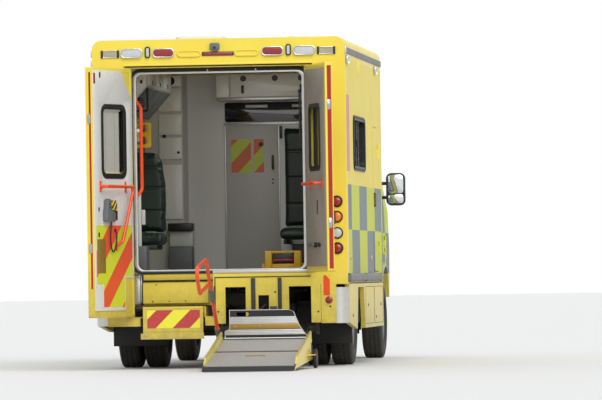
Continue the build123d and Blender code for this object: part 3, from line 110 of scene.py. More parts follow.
def soiled(tree, place, clean, dirt, low, high, most=1.0):
    """Specks of dirt over a colour, thickest at a low height and gone at a high one."""
    up = add(tree, "SeparateXYZ", {"Vector": place}).outputs["Z"]
    fading = add(tree, "MapRange", {"Value": up, "From Min": low, "From Max": high, "To Min": most,
                                    "To Max": 0.0})
    amount = add(tree, "Math", {0: fading, 1: mottled(tree, place, 60.0, 6.0, 0.7)}, operation="MULTIPLY")
    return add(tree, "Mix", {0: amount, 6: clean, 7: dirt}, data_type="RGBA")


def surface(name, colour, shade, roughness, grain_mm, depth_mm, patch_mm=300.0, metallic=0.0, coat=0.0,
            rough_range=0.08, dirt=None, stretch=(1, 1, 1), specular=0.5):
    """A finish with patches of a second shade, a fine grain, and dirt that thickens towards the ground."""
    material, tree, place = start(name)
    patches = mottled(tree, place, patch_mm, 4.0, 0.6)
    grain = mottled(tree, place, grain_mm, stretch=stretch)
    shown = add(tree, "Mix", {0: patches, 6: colour, 7: shade}, data_type="RGBA")
    if dirt:
        shown = soiled(tree, place, shown, *dirt)
    smooth, rough = max(roughness - rough_range, 0.02), min(roughness + rough_range, 1.0)
    return finished(material, {
        "Base Color": shown,
        "Roughness": add(tree, "MapRange", {"Value": patches, "To Min": smooth, "To Max": rough}),
        "Metallic": metallic,
        "Coat Weight": coat,
        "Specular IOR Level": specular,
        "Normal": add(tree, "Bump", {"Height": grain, "Distance": depth_mm * MM}),
    })


ROAD_DIRT = "#6f675a"

# Two-pack acrylic paint on composite panels: glossy, a trace of orange peel, grimy low down
PAINT = surface("acrylic_paint_yellow", "#f3dd58", "#ecd34c", 0.36, 6.0, 0.03, 600.0, coat=0.03,
                dirt=(ROAD_DIRT, 0.2, 0.95), specular=0.25)
# Gel coat on glass fibre: off-white, smooth, faintly wavy
GELCOAT = surface("gelcoat_white", "#e9e9e6", "#dcdcd8", 0.24, 25.0, 0.06, 500.0, coat=0.2)
# Laminate faced board of the lockers, a little duller and greyer
LAMINATE = surface("laminate_light_grey", "#c9c9c6", "#bcbcb9", 0.38, 1.2, 0.02, 300.0)
# Chassis black over steel, dulled by dried road spray
CHASSIS = surface("chassis_black_steel", "#1b1b1c", "#2b2a28", 0.55, 2.0, 0.08, 120.0,
                  dirt=("#5e574c", 0.0, 0.8))
# Polyethylene and nylon mouldings: black with a fine leather grain
PLASTIC = surface("moulded_black_plastic", "#141415", "#1d1d1e", 0.48, 1.4, 0.06, 200.0)
# Moulded catches and vents in satin black
CATCH = surface("moulded_catch_black", "#0e0e10", "#17171a", 0.35, 1.2, 0.04, 60.0)
# Grey polypropylene of the bumper and rub rails, chalky with age
GREY_PLASTIC = surface("moulded_grey_plastic", "#6a6e70", "#5c6062", 0.5, 1.6, 0.06, 150.0,
                       dirt=(ROAD_DIRT, 0.3, 1.0))
# Mill-finished aluminium extrusion: fine lines along its length, dull scuffs
ALUMINIUM = surface("extruded_aluminium", "#cfcecb", "#b9b8b5", 0.36, 3.0, 0.02, 60.0, metallic=0.85,
                    stretch=(1, 1, 0.03))
# Bright zinc plated steel of latches and hinge pins
ZINC = surface("zinc_plated_steel", "#b8bcc0", "#9ca0a4", 0.32, 4.0, 0.03, 25.0, metallic=0.9)
# Chrome plated bezel: mirror bright and even
CHROME = surface("chrome_bezel", "#d8dadb", "#c6c8ca", 0.12, 20.0, 0.01, 60.0, metallic=1.0,
                 rough_range=0.04)
# Orange powder coat on the hand rails, with slight texture
ORANGE = surface("powder_coat_orange", "#f2541c", "#e44a16", 0.34, 1.8, 0.05, 80.0, coat=0.1)
# EPDM rubber seals: matt black
RUBBER = surface("seal_rubber_black", "#121213", "#1c1c1c", 0.62, 2.0, 0.05, 50.0)
# Tyre rubber, browned by road dust
TYRE = surface("tyre_rubber", "#191918", "#2a2825", 0.78, 3.0, 0.12, 40.0, dirt=("#4c463c", -0.1, 0.5))
# Silver wheel enamel under brake dust
WHEEL_PAINT = surface("wheel_enamel_silver", "#8d8f90", "#6c6a66", 0.46, 4.0, 0.06, 50.0, metallic=0.3,
                      dirt=("#3f3830", 0.0, 0.7))
# Vinyl safety floor with a fine grit
SAFETY_FLOOR = surface("safety_floor_vinyl", "#8a8c8d", "#76797b", 0.6, 2.5, 0.25, 9.0)
# Coated fabric of the green seats: a soft sheen over a fine grain
GREEN_VINYL = surface("coated_fabric_green", "#16261f", "#1d3027", 0.42, 1.6, 0.12, 120.0)
# The same fabric in black, in the cab
BLACK_VINYL = surface("coated_fabric_black", "#101112", "#1a1b1c", 0.46, 1.6, 0.12, 120.0)
# Cast and painted yellow parts of the stretcher lock
LOCK_YELLOW = surface("enamel_signal_yellow", "#e8b818", "#d8a812", 0.36, 3.0, 0.04, 60.0)
# Deep red retroreflective tape with fine prisms
RED_TAPE = surface("reflective_tape_red", "#b3141c", "#8e0d14", 0.30, 2.2, 0.15, 12.0)
# Retroreflective films in plain orange and lime
FILM_ORANGE, FILM_LIME = "#f2480a", "#dae40a"
ORANGE_FILM = surface("reflective_film_orange", FILM_ORANGE, "#e04a10", 0.32, 2.2, 0.15, 20.0)
LIME_FILM = surface("reflective_film_lime", FILM_LIME, "#c6cf10", 0.32, 2.2, 0.15, 20.0)
# Faded red sign film, left blank
SIGN_RED = surface("sign_film_red_faded", "#cf6a5c", "#c15a4e", 0.34, 6.0, 0.02, 120.0)
# Ochre anodised blank plate
OCHRE = surface("anodised_plate_ochre", "#a98a3c", "#94762e", 0.4, 1.5, 0.02, 40.0, metallic=0.3)
# Lining board of the right door in grey-brown: painted shade on a board that is white like the left door's
SHADED_BOARD = surface("lining_board_painted_shade", "#a39c93", "#8f877d", 0.42, 8.0, 0.05, 260.0)
# Enamelled aluminium slats of the blind
BLIND = surface("enamelled_slat_cream", "#cfcec6", "#c2c1b8", 0.42, 6.0, 0.02, 90.0)
# Self-adhesive grit strip, nearly black
GRIT = surface("grit_tape_black", "#222326", "#303134", 0.85, 1.2, 0.35, 30.0)
# Nearly black privacy glass, too dark to see through
DARK_PANE = surface("privacy_glass_dark", "#14181a", "#1b2022", 0.08, 60.0, 0.01, 400.0, coat=0.6,
                    rough_range=0.03)
# Silvered mirror glass
MIRROR_GLASS = surface("silvered_mirror_glass", "#dfe3e6", "#d4d9dd", 0.04, 200.0, 0.0, 300.0, metallic=1.0,
                       rough_range=0.01)


GLASS_IOR = 1.45


def glass(name, tint):
    """Toughened glass with a body tint, under a thin uneven film of grime."""
    material, tree, place = start(name)
    film = add(tree, "MapRange", {"Value": mottled(tree, place, 180.0, 5.0, 0.7), "To Min": 0.03,
                                  "To Max": 0.09})
    return finished(material, {"Base Color": tint, "Transmission Weight": 1.0, "IOR": GLASS_IOR,
                               "Roughness": film})


# Clear automotive glass with a green edge, and dark privacy glass
CAB_GLASS = glass("toughened_glass_green", "#b9cdc4")
PRIVACY_GLASS = glass("privacy_glass_grey", "#3c4548")

FLUTE_SCALE = 200.0 / 6.28  # a flute about every 10 mm, coarse enough to show


def lens(name, colour, shade):
    """Moulded acrylic lens: glossy outside, with flutes inside that show as fine ribs."""
    material, tree, place = start(name)
    flutes = add(tree, "TexWave", {"Vector": place, "Scale": FLUTE_SCALE, "Distortion": 0.0},
                 wave_type="BANDS", bands_direction="X").outputs["Fac"]
    return finished(material, {
        "Base Color": add(tree, "Mix", {0: flutes, 6: colour, 7: shade}, data_type="RGBA"),
        "Roughness": 0.12,
        "Coat Weight": 0.6,
        "Normal": add(tree, "Bump", {"Height": flutes, "Distance": 0.4 * MM}),
    })


# Coloured acrylic of the lamps, deep in the flutes and bright on their crowns
RED_LENS = lens("acrylic_lens_red", "#a3121a", "#7e0c14")
WHITE_LENS = lens("acrylic_lens_clear", "#d8dadb", "#aab0b4")
AMBER_LENS = lens("acrylic_lens_amber", "#f08a24", "#cf6a10")
BLUE_LENS = lens("acrylic_lens_blue", "#1438b8", "#0c2688")


# Livery: the squares along the sides, and chevrons

FLECK_SCALE = 1000.0 / 7.0  # the cells of retroreflective film, drawn 7 mm across so that they show
BLOCK_LENGTH = 0.75
BLOCK_START = 0.46
BLOCK_ROWS = (0.782, 1.159, 1.543)
WALL_INSIDE = 1.03
CAB_INSIDE = 0.86


def livery_paint(name, x_inside, lining):
    """Yellow paint outside with two rows of squares, and a pale lining inside the wall."""
    material, tree, place = start(name)
    across, along, up = add(tree, "SeparateXYZ", {"Vector": place}).outputs
    begun = add(tree, "Math", {0: along, 1: station(BLOCK_START)}, operation="SUBTRACT")
    blocks = add(tree, "Math", {0: begun, 1: BLOCK_LENGTH}, operation="DIVIDE")
    column = add(tree, "Math", {0: blocks}, operation="FLOOR")
    upper = add(tree, "Math", {0: up, 1: BLOCK_ROWS[1]}, operation="GREATER_THAN")
    count = add(tree, "Math", {0: column, 1: upper}, operation="ADD")
    parity = add(tree, "Math", {0: count, 1: 1.0}, operation="PINGPONG")
    odd = add(tree, "Math", {0: parity, 1: 0.5}, operation="GREATER_THAN")
    squares = add(tree, "Mix", {0: odd, 6: "#6f7b80", 7: "#c8cf1e"}, data_type="RGBA")
    cells = add(tree, "TexVoronoi", {"Vector": place, "Scale": FLECK_SCALE})
    flecks = add(tree, "Math", {0: cells, 1: 0.10}, operation="MULTIPLY")
    squares = add(tree, "Mix", {0: flecks, 6: squares, 7: "#f4f4ec"}, data_type="RGBA")
    over = add(tree, "Math", {0: up, 1: BLOCK_ROWS[0]}, operation="GREATER_THAN")
    under = add(tree, "Math", {0: up, 1: BLOCK_ROWS[2]}, operation="LESS_THAN")
    band = add(tree, "Math", {0: over, 1: under}, operation="MULTIPLY")
    patches = mottled(tree, place, 600.0, 4.0, 0.6)
    paint = add(tree, "Mix", {0: patches, 6: "#eedc6c", 7: "#e6d360"}, data_type="RGBA")
    outside = add(tree, "Mix", {0: band, 6: paint, 7: squares}, data_type="RGBA")
    outside = soiled(tree, place, outside, ROAD_DIRT, 0.3, 1.1, 0.8)
    away = add(tree, "Math", {0: across}, operation="ABSOLUTE")
    skin = add(tree, "Math", {0: away, 1: x_inside}, operation="GREATER_THAN")
    return finished(material, {
        "Base Color": add(tree, "Mix", {0: skin, 6: lining, 7: outside}, data_type="RGBA"),
        "Roughness": add(tree, "MapRange", {"Value": patches, "To Min": 0.42, "To Max": 0.54}),
        "Specular IOR Level": 0.12,
        "Normal": add(tree, "Bump", {"Height": mottled(tree, place, 8.0), "Distance": 0.03 * MM}),
    })


# Satin reflective squares and paint on composite panels, and on the pressed steel of the cab
SIDE_LIVERY = livery_paint("livery_film_on_panel", WALL_INSIDE, "#d9d9d5")
CAB_LIVERY = livery_paint("livery_film_on_steel", CAB_INSIDE, "#d8c650")


def chevron_film(name, first, second, pitch, lean, turn=(0, 0, 0), centre=(0, 0, 0)):
    """Slanting bands of reflective film; turn and centre place the pattern on its panel."""
    material, tree, place = start(name)
    across, _, up = add(tree, "SeparateXYZ", {"Vector": add(tree, "Mapping", {
        "Vector": place, "Location": centre, "Rotation": turn}, vector_type="TEXTURE")}).outputs
    slope = add(tree, "Math", {0: across, 1: lean}, operation="MULTIPLY")
    rise = add(tree, "Math", {0: up, 1: slope}, operation="ADD")
    travel = add(tree, "Math", {0: rise, 1: pitch}, operation="DIVIDE")
    whole = add(tree, "Math", {0: travel}, operation="FLOOR")
    parity = add(tree, "Math", {0: whole, 1: 1.0}, operation="PINGPONG")
    odd = add(tree, "Math", {0: parity, 1: 0.5}, operation="GREATER_THAN")
    bands = add(tree, "Mix", {0: odd, 6: first, 7: second}, data_type="RGBA")
    cells = add(tree, "TexVoronoi", {"Vector": place, "Scale": FLECK_SCALE})
    flecks = add(tree, "Math", {0: cells, 1: 0.08}, operation="MULTIPLY")
    bands = add(tree, "Mix", {0: flecks, 6: bands, 7: "#f6efe0"}, data_type="RGBA")
    patches = mottled(tree, place, 90.0, 5.0, 0.7)
    worn = add(tree, "Math", {0: patches, 1: 0.12}, operation="MULTIPLY")
    return finished(material, {
        "Base Color": add(tree, "Mix", {0: worn, 6: bands, 7: ROAD_DIRT}, data_type="RGBA"),
        "Roughness": add(tree, "MapRange", {"Value": patches, "To Min": 0.24, "To Max": 0.4}),
        "Normal": add(tree, "Bump", {"Height": cells, "Distance": 0.02 * MM}),
    })


# Retroreflective film in slanting bands, on the sliding door and on the entry step
BULKHEAD_FILM = chevron_film("reflective_film_bulkhead", "#c9dc18", "#e2601c", 0.150, -1.05)
STEP_FILM = chevron_film("reflective_film_red_yellow", "#bc0c14", "#f2ec1e", 0.145, -1.0,
                         centre=(-0.037, 0, 0))


def two_tone(name, axis, centre, limit, inside, outside, metallic, roughness):
    """One finish within a distance of a plane and another beyond it, on a node of two materials."""
    material, tree, place = start(name)
    along = add(tree, "SeparateXYZ", {"Vector": place}).outputs[axis]
    offset = add(tree, "Math", {0: along, 1: centre}, operation="SUBTRACT")
    away = add(tree, "Math", {0: offset}, operation="ABSOLUTE")
    beyond = add(tree, "Math", {0: away, 1: limit}, operation="GREATER_THAN")
    patches = mottled(tree, place, 60.0, 4.0, 0.6)
    first, second = (add(tree, "Mix", {0: patches, 6: colour, 7: shade}, data_type="RGBA")
                     for colour, shade in (inside, outside))
    metal, rough = (add(tree, "MapRange", {"Value": beyond, "To Min": near, "To Max": far})
                    for near, far in (metallic, roughness))
    return finished(material, {
        "Base Color": add(tree, "Mix", {0: beyond, 6: first, 7: second}, data_type="RGBA"),
        "Metallic": metal,
        "Roughness": rough,
        "Normal": add(tree, "Bump", {"Height": mottled(tree, place, 3.0), "Distance": 0.02 * MM}),
    })


# Aluminium decking between yellow painted side guards
PLATFORM_FINISH = two_tone("aluminium_deck_and_painted_guards", "X", 0.420, 0.3665, ("#b4b2ae", "#9d9b97"),
                           ("#f0dc60", "#e4ce50"), (0.7, 0.0), (0.42, 0.30))
# Signal yellow enamel low down, orange powder coat above
FITTINGS_FINISH = two_tone("enamel_and_powder_coat", "Z", 0.0, 0.950, ("#e8b818", "#d8a812"),
                           ("#f2541c", "#e44a16"), (0.0, 0.0), (0.36, 0.34))
# Black moulded grille in the middle, clear polycarbonate lamps at the corners
LAMP_FACE_FINISH = two_tone("moulding_and_lamp_lens", "X", 0.0, 0.545, ("#141415", "#1d1d1e"),
                            ("#c6cdd2", "#9aa4ac"), (0.0, 0.35), (0.48, 0.08))

FRAME_INSIDE = BODY_HALF - 0.0195
CAB_GLASS_HALF = 1.0


def window_finish():
    """Green screen glass in the cab, grey panes in the box, and black frames outside them."""
    material, tree, place = start("glazing_with_black_frame")
    across = add(tree, "SeparateXYZ", {"Vector": place}).outputs["X"]
    away = add(tree, "Math", {0: across}, operation="ABSOLUTE")
    framed = add(tree, "Math", {0: away, 1: FRAME_INSIDE}, operation="GREATER_THAN")
    boxed = add(tree, "Math", {0: away, 1: CAB_GLASS_HALF}, operation="GREATER_THAN")
    tint = add(tree, "Mix", {0: boxed, 6: "#b9cdc4", 7: "#4a5255"}, data_type="RGBA")
    grain = mottled(tree, place, 1.4)
    frames = add(tree, "Mix", {0: grain, 6: "#131314", 7: "#1c1c1d"}, data_type="RGBA")
    return finished(material, {
        "Base Color": add(tree, "Mix", {0: framed, 6: tint, 7: frames}, data_type="RGBA"),
        "Transmission Weight": add(tree, "Math", {0: 1.0, 1: framed}, operation="SUBTRACT"),
        "Roughness": add(tree, "MapRange", {"Value": framed, "To Min": 0.04, "To Max": 0.45}),
        "IOR": GLASS_IOR,
    })


WINDOW_FINISH = window_finish()

# What each node is made of
NODE_MATERIALS = {
    PAINT: ("bonnet", "cab_fairing", "entry_step", "lift_panel", "rear_bumper", "rear_frame", "saloon_roof",
            "rear_door_left", "rear_door_right", "side_skirts"),
    SIDE_LIVERY: ("saloon_wall_left", "saloon_wall_right", "side_door", "locker_door"),
    CAB_LIVERY: ("cab_shell", "cab_door_left", "cab_door_right"),
    GELCOAT: ("roof_hatch", "roof_fittings", "saloon_bulkhead"),
    LAMINATE: ("saloon_cabinets",),
    CHASSIS: ("chassis_frame", "driveline", "front_suspension", "knuckle_left", "knuckle_right",
              "rear_axle", "underbody_units", "lift_arms", "lift_carriage"),
    PLASTIC: ("dashboard", "mirror_left", "mirror_right", "steering_wheel"),
    GREY_PLASTIC: ("front_bumper", "side_rails"),
    ALUMINIUM: ("corner_trims", "lift_flap", "side_locker"),
    CAB_GLASS: ("cab_window_left", "cab_window_right"),
    WINDOW_FINISH: ("fixed_windows",),
    PLATFORM_FINISH: ("lift_platform",),
    FITTINGS_FINISH: ("saloon_fittings",),
    LAMP_FACE_FINISH: ("grille_and_headlamps",),
    RED_LENS: ("body_lamps",),
    RUBBER: ("ground_roller",),
    ORANGE: ("lift_handrail",),
    TYRE: ("wheel_front_left", "wheel_front_right", "wheel_rear_left", "wheel_rear_right"),
    SAFETY_FLOOR: ("saloon_floor",),
    GREEN_VINYL: ("saloon_seats",),
    BLACK_VINYL: ("cab_seats",),
}
for material, names in NODE_MATERIALS.items():
    for name in names:
        nodes[name].data.materials.clear()
        nodes[name].data.materials.append(material)


# Shapes, made as bmeshes and joined before they become pieces

AXIS_ORDER = {"X": (2, 0, 1), "Y": (0, 2, 1), "Z": (0, 1, 2)}
AXIS_STEP = {"X": Vector((1, 0, 0)), "Y": Vector((0, 1, 0)), "Z": Vector((0, 0, 1))}


def placed(point, axis, along):
    """A point drawn on the plane across an axis: (Y, Z), (X, Z) or (X, Y)."""
    values = (point[0], point[1], along)
    return Vector([values[index] for index in AXIS_ORDER[axis]])


def soften(shape, width, segments=2, sharper_than=30.0):
    """Round the edges that turn by more than an angle."""
    limit = math.radians(sharper_than)
    edges = [edge for edge in shape.edges if len(edge.link_faces) == 2 and edge.calc_face_angle() > limit]
    bmesh.ops.bevel(shape, geom=edges, offset=width, segments=segments, profile=0.5, affect="EDGES",
                    clamp_overlap=True, material=-1)


def slab(low, high, bevel=0.0, segments=2):
    """A block between two corners with its edges rounded."""
    shape = bmesh.new()
    bmesh.ops.create_cube(shape, size=1.0)
    bmesh.ops.scale(shape, vec=[b - a for a, b in zip(low, high)], verts=shape.verts)
    bmesh.ops.translate(shape, vec=[(a + b) / 2 for a, b in zip(low, high)], verts=shape.verts)
    if bevel:
        soften(shape, bevel, segments)
    return shape


def rounded(low, high, radius, steps=5):
    """Points of a rectangle with round corners."""
    points = []
    corners = (
        (high[0] - radius, high[1] - radius), (low[0] + radius, high[1] - radius),
        (low[0] + radius, low[1] + radius), (high[0] - radius, low[1] + radius),
    )
    for quarter, (x, y) in enumerate(corners):
        for step in range(steps + 1):
            angle = (quarter + step / steps) * math.pi / 2
            points.append((x + radius * math.cos(angle), y + radius * math.sin(angle)))
    return points


def push(shape, faces, axis, distance):
    """Extrude faces along an axis."""
    made = bmesh.ops.extrude_face_region(shape, geom=faces)
    ends = [item for item in made["geom"] if isinstance(item, bmesh.types.BMVert)]
    bmesh.ops.translate(shape, vec=AXIS_STEP[axis] * distance, verts=ends)
    bmesh.ops.recalc_face_normals(shape, faces=shape.faces)


def solid(points, axis, low, high, bevel=0.0, segments=2):
    """An outline carried along an axis."""
    shape = bmesh.new()
    face = shape.faces.new([shape.verts.new(placed(point, axis, low)) for point in points])
    push(shape, [face], axis, high - low)
    if bevel:
        soften(shape, bevel, segments)
    return shape


def ring(outer, inner, axis, low, high, bevel=0.0, segments=2):
    """A frame between two outlines that have as many points."""
    shape = bmesh.new()
    edges = []
    for points in (outer, inner):
        verts = [shape.verts.new(placed(point, axis, low)) for point in points]
        edges += [shape.edges.new((vert, verts[index - 1])) for index, vert in enumerate(verts)]
    faces = bmesh.ops.bridge_loops(shape, edges=edges)["faces"]
    push(shape, faces, axis, high - low)
    if bevel:
        soften(shape, bevel, segments)
    return shape


TURN_TO = {
    "X": Matrix.Identity(4),
    "Y": Matrix.Rotation(math.pi / 2, 4, "Z"),
    "Z": Matrix.Rotation(-math.pi / 2, 4, "Y"),
}
DOUBLES = 1e-6


def turned(profile, axis, centre, steps=40, closed=False):
    """Spin a line of (distance along the axis, radius)."""
    shape = bmesh.new()
    verts = [shape.verts.new((along, 0, radius)) for along, radius in profile]
    edges = [shape.edges.new(pair) for pair in zip(verts, verts[1:])]
    if closed:
        edges.append(shape.edges.new((verts[-1], verts[0])))
    bmesh.ops.spin(shape, geom=verts + edges, cent=(0, 0, 0), axis=(1, 0, 0), angle=2 * math.pi,
                   steps=steps, use_merge=True)
    bmesh.ops.remove_doubles(shape, verts=shape.verts, dist=DOUBLES)
    bmesh.ops.recalc_face_normals(shape, faces=shape.faces)
    bmesh.ops.transform(shape, matrix=Matrix.Translation(centre) @ TURN_TO[axis], verts=shape.verts)
    return shape


def disc(axis, centre, radius, length, bevel=0.0, steps=32):
    """A round plug whose outer end is rounded."""
    shoulder = length - math.copysign(bevel, length)
    profile = [(0, 0), (0, radius), (shoulder, radius), (length, radius - bevel), (length, 0)]
    return turned(profile, axis, centre, steps)


def pipe(points, radius, closed=False, sides=3, smooth=8):
    """A round bar along a smooth line led by a few points."""
    curve = bpy.data.curves.new("line", "CURVE")
    curve.dimensions = "3D"
    curve.bevel_depth = radius
    curve.bevel_resolution = sides
    curve.use_fill_caps = True
    curve.resolution_u = smooth
    spline = curve.splines.new("NURBS")
    spline.points.add(len(points) - 1)
    for point, place in zip(spline.points, points):
        point.co = (*place, 1.0)
    spline.use_cyclic_u = closed
    spline.order_u = 3
    spline.use_endpoint_u = not closed
    holder = bpy.data.objects.new("line", curve)
    mesh = bpy.data.meshes.new_from_object(holder)
    shape = bmesh.new()
    shape.from_mesh(mesh)
    bpy.data.objects.remove(holder)
    bpy.data.curves.remove(curve)
    bpy.data.meshes.remove(mesh)
    return shape


def bent(corners, radius):
    """Points that keep a bar straight up to a short bend at each corner."""
    points = [Vector(corners[0])]
    for before, corner, after in zip(corners, corners[1:], corners[2:]):
        corner = Vector(corner)
        points.append(corner + (Vector(before) - corner).normalized() * radius)
        points.append(corner)
        points.append(corner + (Vector(after) - corner).normalized() * radius)
    return points + [Vector(corners[-1])]


def merged(shapes):
    """Several shapes as one."""
    whole = bmesh.new()
    for shape in shapes:
        mesh = bpy.data.meshes.new("part")
        shape.to_mesh(mesh)
        shape.free()
        whole.from_mesh(mesh)
        bpy.data.meshes.remove(mesh)
    return whole


def moved(shape, matrix):
    """The shape carried by a matrix; a mirrored one is turned the right way out."""
    bmesh.ops.transform(shape, matrix=matrix, verts=shape.verts)
    if matrix.determinant() < 0:
        bmesh.ops.reverse_faces(shape, faces=shape.faces)
    return shape


MIRROR = Matrix.Scale(-1, 4, (1, 0, 0))


def both(make):
    """A shape on the right, and its mirror image on the left."""
    return [make(), moved(make(), MIRROR)]


# The slot that a finish goes with, where the piece names no other
SLOT_OF = {material: slot for slot, finishes in {
    "yellow_paint": (PAINT, LOCK_YELLOW, LIME_FILM, OCHRE),
    "white_panel": (GELCOAT, LAMINATE, SHADED_BOARD, BLIND),
    "steel_black": (CHASSIS,),
    "black_plastic": (PLASTIC, CATCH, RUBBER, GRIT),
    "grey_plastic": (GREY_PLASTIC,),
    "bare_aluminium": (ALUMINIUM, ZINC, CHROME, WHEEL_PAINT),
    "lamp_lens": (RED_LENS, WHITE_LENS, AMBER_LENS, BLUE_LENS, RED_TAPE, SIGN_RED),
    "orange_tube": (ORANGE, ORANGE_FILM, STEP_FILM, BULKHEAD_FILM),
    "dark_glass": (DARK_PANE, MIRROR_GLASS, PRIVACY_GLASS),
    "tyre_rubber": (TYRE,),
    "green_vinyl": (GREEN_VINYL, BLACK_VINYL),
}.items() for material in finishes}


def piece(name, shape, material, body="body", slot=None, smooth=35.0):
    """Make a shape, or a list of them, an object at the origin that rides on a body."""
    if isinstance(shape, list):
        shape = merged(shape)
    slot = slot or SLOT_OF[material]
    mesh = bpy.data.meshes.new(name)
    shape.to_mesh(mesh)
    shape.free()
    mesh.shade_smooth()
    mesh.set_sharp_from_angle(angle=math.radians(smooth))
    mesh.materials.append(material)
    made = bpy.data.objects.new(name, mesh)
    bpy.context.scene.collection.objects.link(made)
    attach(made, body)
    return made


# Lamps on the rear face, drawn on the right and mirrored

BEZEL = 0.009
HEADER_LAMPS = (  # name, X from, X to, foot, top, corner radius, stands out, lens, bezel
    ("clear", 0.641, 0.828, 2.636, 2.716, 0.034, 0.026, WHITE_LENS, CHROME),
    ("slim", 0.575, 0.622, 2.634, 2.732, 0.022, 0.018, WHITE_LENS, PLASTIC),
    ("red", 0.372, 0.556, 2.636, 2.714, 0.034, 0.022, RED_LENS, CHROME),
)
PILLAR_LAMPS = ((1.396, RED_LENS), (1.267, AMBER_LENS), (1.130, WHITE_LENS), (1.002, RED_LENS))
PILLAR_X = 0.990


def header_lamps():
    for name, low, high, foot, top, radius, out, lens_finish, bezel_finish in HEADER_LAMPS:
        def bezel():
            outer = rounded((low, foot), (high, top), radius)
            inner = rounded((low + BEZEL, foot + BEZEL), (high - BEZEL, top - BEZEL), radius - BEZEL)
            return ring(outer, inner, "Y", REAR - out, REAR - SKIN, 0.003)

        def dome():
            inner = rounded((low + BEZEL, foot + BEZEL), (high - BEZEL, top - BEZEL), radius - BEZEL)
            return solid(inner, "Y", REAR - out + 0.004, REAR - SKIN, 0.006, 3)

        piece(f"header_lamp_{name}_bezels", both(bezel), bezel_finish, slot="lamp_lens")
        piece(f"header_lamp_{name}_lenses", both(dome), lens_finish, slot="lamp_lens")


def header_vents():
    """Yellow oblong vents with a slot each, and louvred corner vents with black ends."""
    def oblong():
        lip = ring(rounded((0.143, 2.637), (0.346, 2.696), 0.028),
                   rounded((0.157, 2.651), (0.332, 2.682), 0.015), "Y", REAR - 0.014, REAR - SKIN, 0.004)
        return merged([lip, solid(rounded((0.155, 2.649), (0.334, 2.684), 0.016), "Y", REAR - 0.005,
                                  REAR - SKIN)])

    def louvres():
        shapes = [ring(rounded((0.842, 2.640), (0.997, 2.705), 0.006),
                       rounded((0.862, 2.648), (0.977, 2.697), 0.004), "Y", REAR - 0.010, REAR - SKIN,
                       0.002)]
        for index in range(5):
            foot = 2.650 + index * 0.0092
            shapes.append(slab((0.860, REAR - 0.008, foot), (0.979, REAR - 0.002, foot + 0.0045), 0.001, 1))
        return merged(shapes)

    piece("header_vents", both(oblong), PAINT)
    piece("header_louvres", both(louvres), CHROME)
    ends = []
    for low, high in ((0.842, 0.861), (0.978, 0.997)):
        ends += both(lambda: slab((low, REAR - 0.012, 2.640), (high, REAR - SKIN, 2.705), 0.002))
    piece("header_louvre_ends", ends, PLASTIC)


def stop_strip_and_camera():
    piece("high_stop_lamp_base", slab((-0.135, REAR - 0.009, 2.644), (0.135, REAR - SKIN, 2.678), 0.003),
          PLASTIC)
    piece("high_stop_lamp", solid(rounded((-0.125, 2.648), (0.125, 2.674), 0.008), "Y", REAR - 0.013,
                                  REAR - 0.005, 0.003), RED_LENS)
    hood = slab((-0.066, REAR - 0.042, 2.690), (0.016, REAR - SKIN, 2.752), 0.014, 4)
    foot = slab((-0.048, REAR - 0.030, 2.680), (-0.002, REAR - SKIN, 2.700), 0.005)
    piece("reversing_camera", [hood, foot], GREY_PLASTIC)
    piece("reversing_camera_eye", disc("Y", (-0.025, REAR - 0.043, 2.712), 0.013, 0.002), PLASTIC)


def pillar_lamps():
    for height, lens_finish in PILLAR_LAMPS:
        def dome():
            profile = [(0, 0.040), (-0.008, 0.040), (-0.020, 0.033), (-0.025, 0.018), (-0.026, 0)]
            return turned(profile, "Y", (PILLAR_X, REAR - 0.004, height), 32)

        piece(f"pillar_lamp_{round(height * 1000)}", both(dome), lens_finish, slot="lamp_lens")
    bases = []
    for height, _ in PILLAR_LAMPS:
        profile = [(-0.001, 0.039), (-0.001, 0.050), (-0.010, 0.050), (-0.014, 0.044), (-0.010, 0.039)]
        bases += both(lambda: turned(profile, "Y", (PILLAR_X, REAR, height), 32, closed=True))
    piece("pillar_lamp_gaiters", bases, RUBBER)


header_lamps()
header_vents()
stop_strip_and_camera()
pillar_lamps()


# Scene lamps along the sides

SCENE_LAMP_STATIONS = (0.070, 2.850)


def scene_lamps():
    bodies, lenses = [], []
    for place in SCENE_LAMP_STATIONS:
        outer = rounded((station(place), 2.560), (station(place + 0.170), 2.630), 0.018)
        inner = rounded((station(place + 0.010), 2.570), (station(place + 0.160), 2.620), 0.010)
        bodies += both(lambda: ring(outer, inner, "X", BODY_HALF + SKIN, BODY_HALF + 0.022, 0.003))
        lenses += both(lambda: solid(inner, "X", BODY_HALF + SKIN, BODY_HALF + 0.017, 0.003))
    piece("scene_lamp_bodies", bodies, CHROME, slot="lamp_lens")
    piece("scene_lamp_lenses", lenses, WHITE_LENS)
    profile = [(0.0, 0.085), (0.004, 0.085), (0.012, 0.070), (0.018, 0.040), (0.018, 0.0)]
    cowl = turned(profile, "X", (BODY_HALF + SKIN - 0.002, station(1.21), 2.56), 40)
    made = piece("vent_cowl", cowl, PAINT)
    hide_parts("body_lamps")


scene_lamps()


# Wheels: tyres with tread, and steel wheels

FRONT_AXLE = station(4.915)
REAR_AXLE = station(1.250)
AXLE_Z = 0.345
TYRE_HALF = 0.0975
TREAD_STEPS = 60
SIPE_SPLIT = 4
TREAD_FOOT = 0.3385  # radius of the floor of the cuts
GROOVES = (0.62, 0.22)


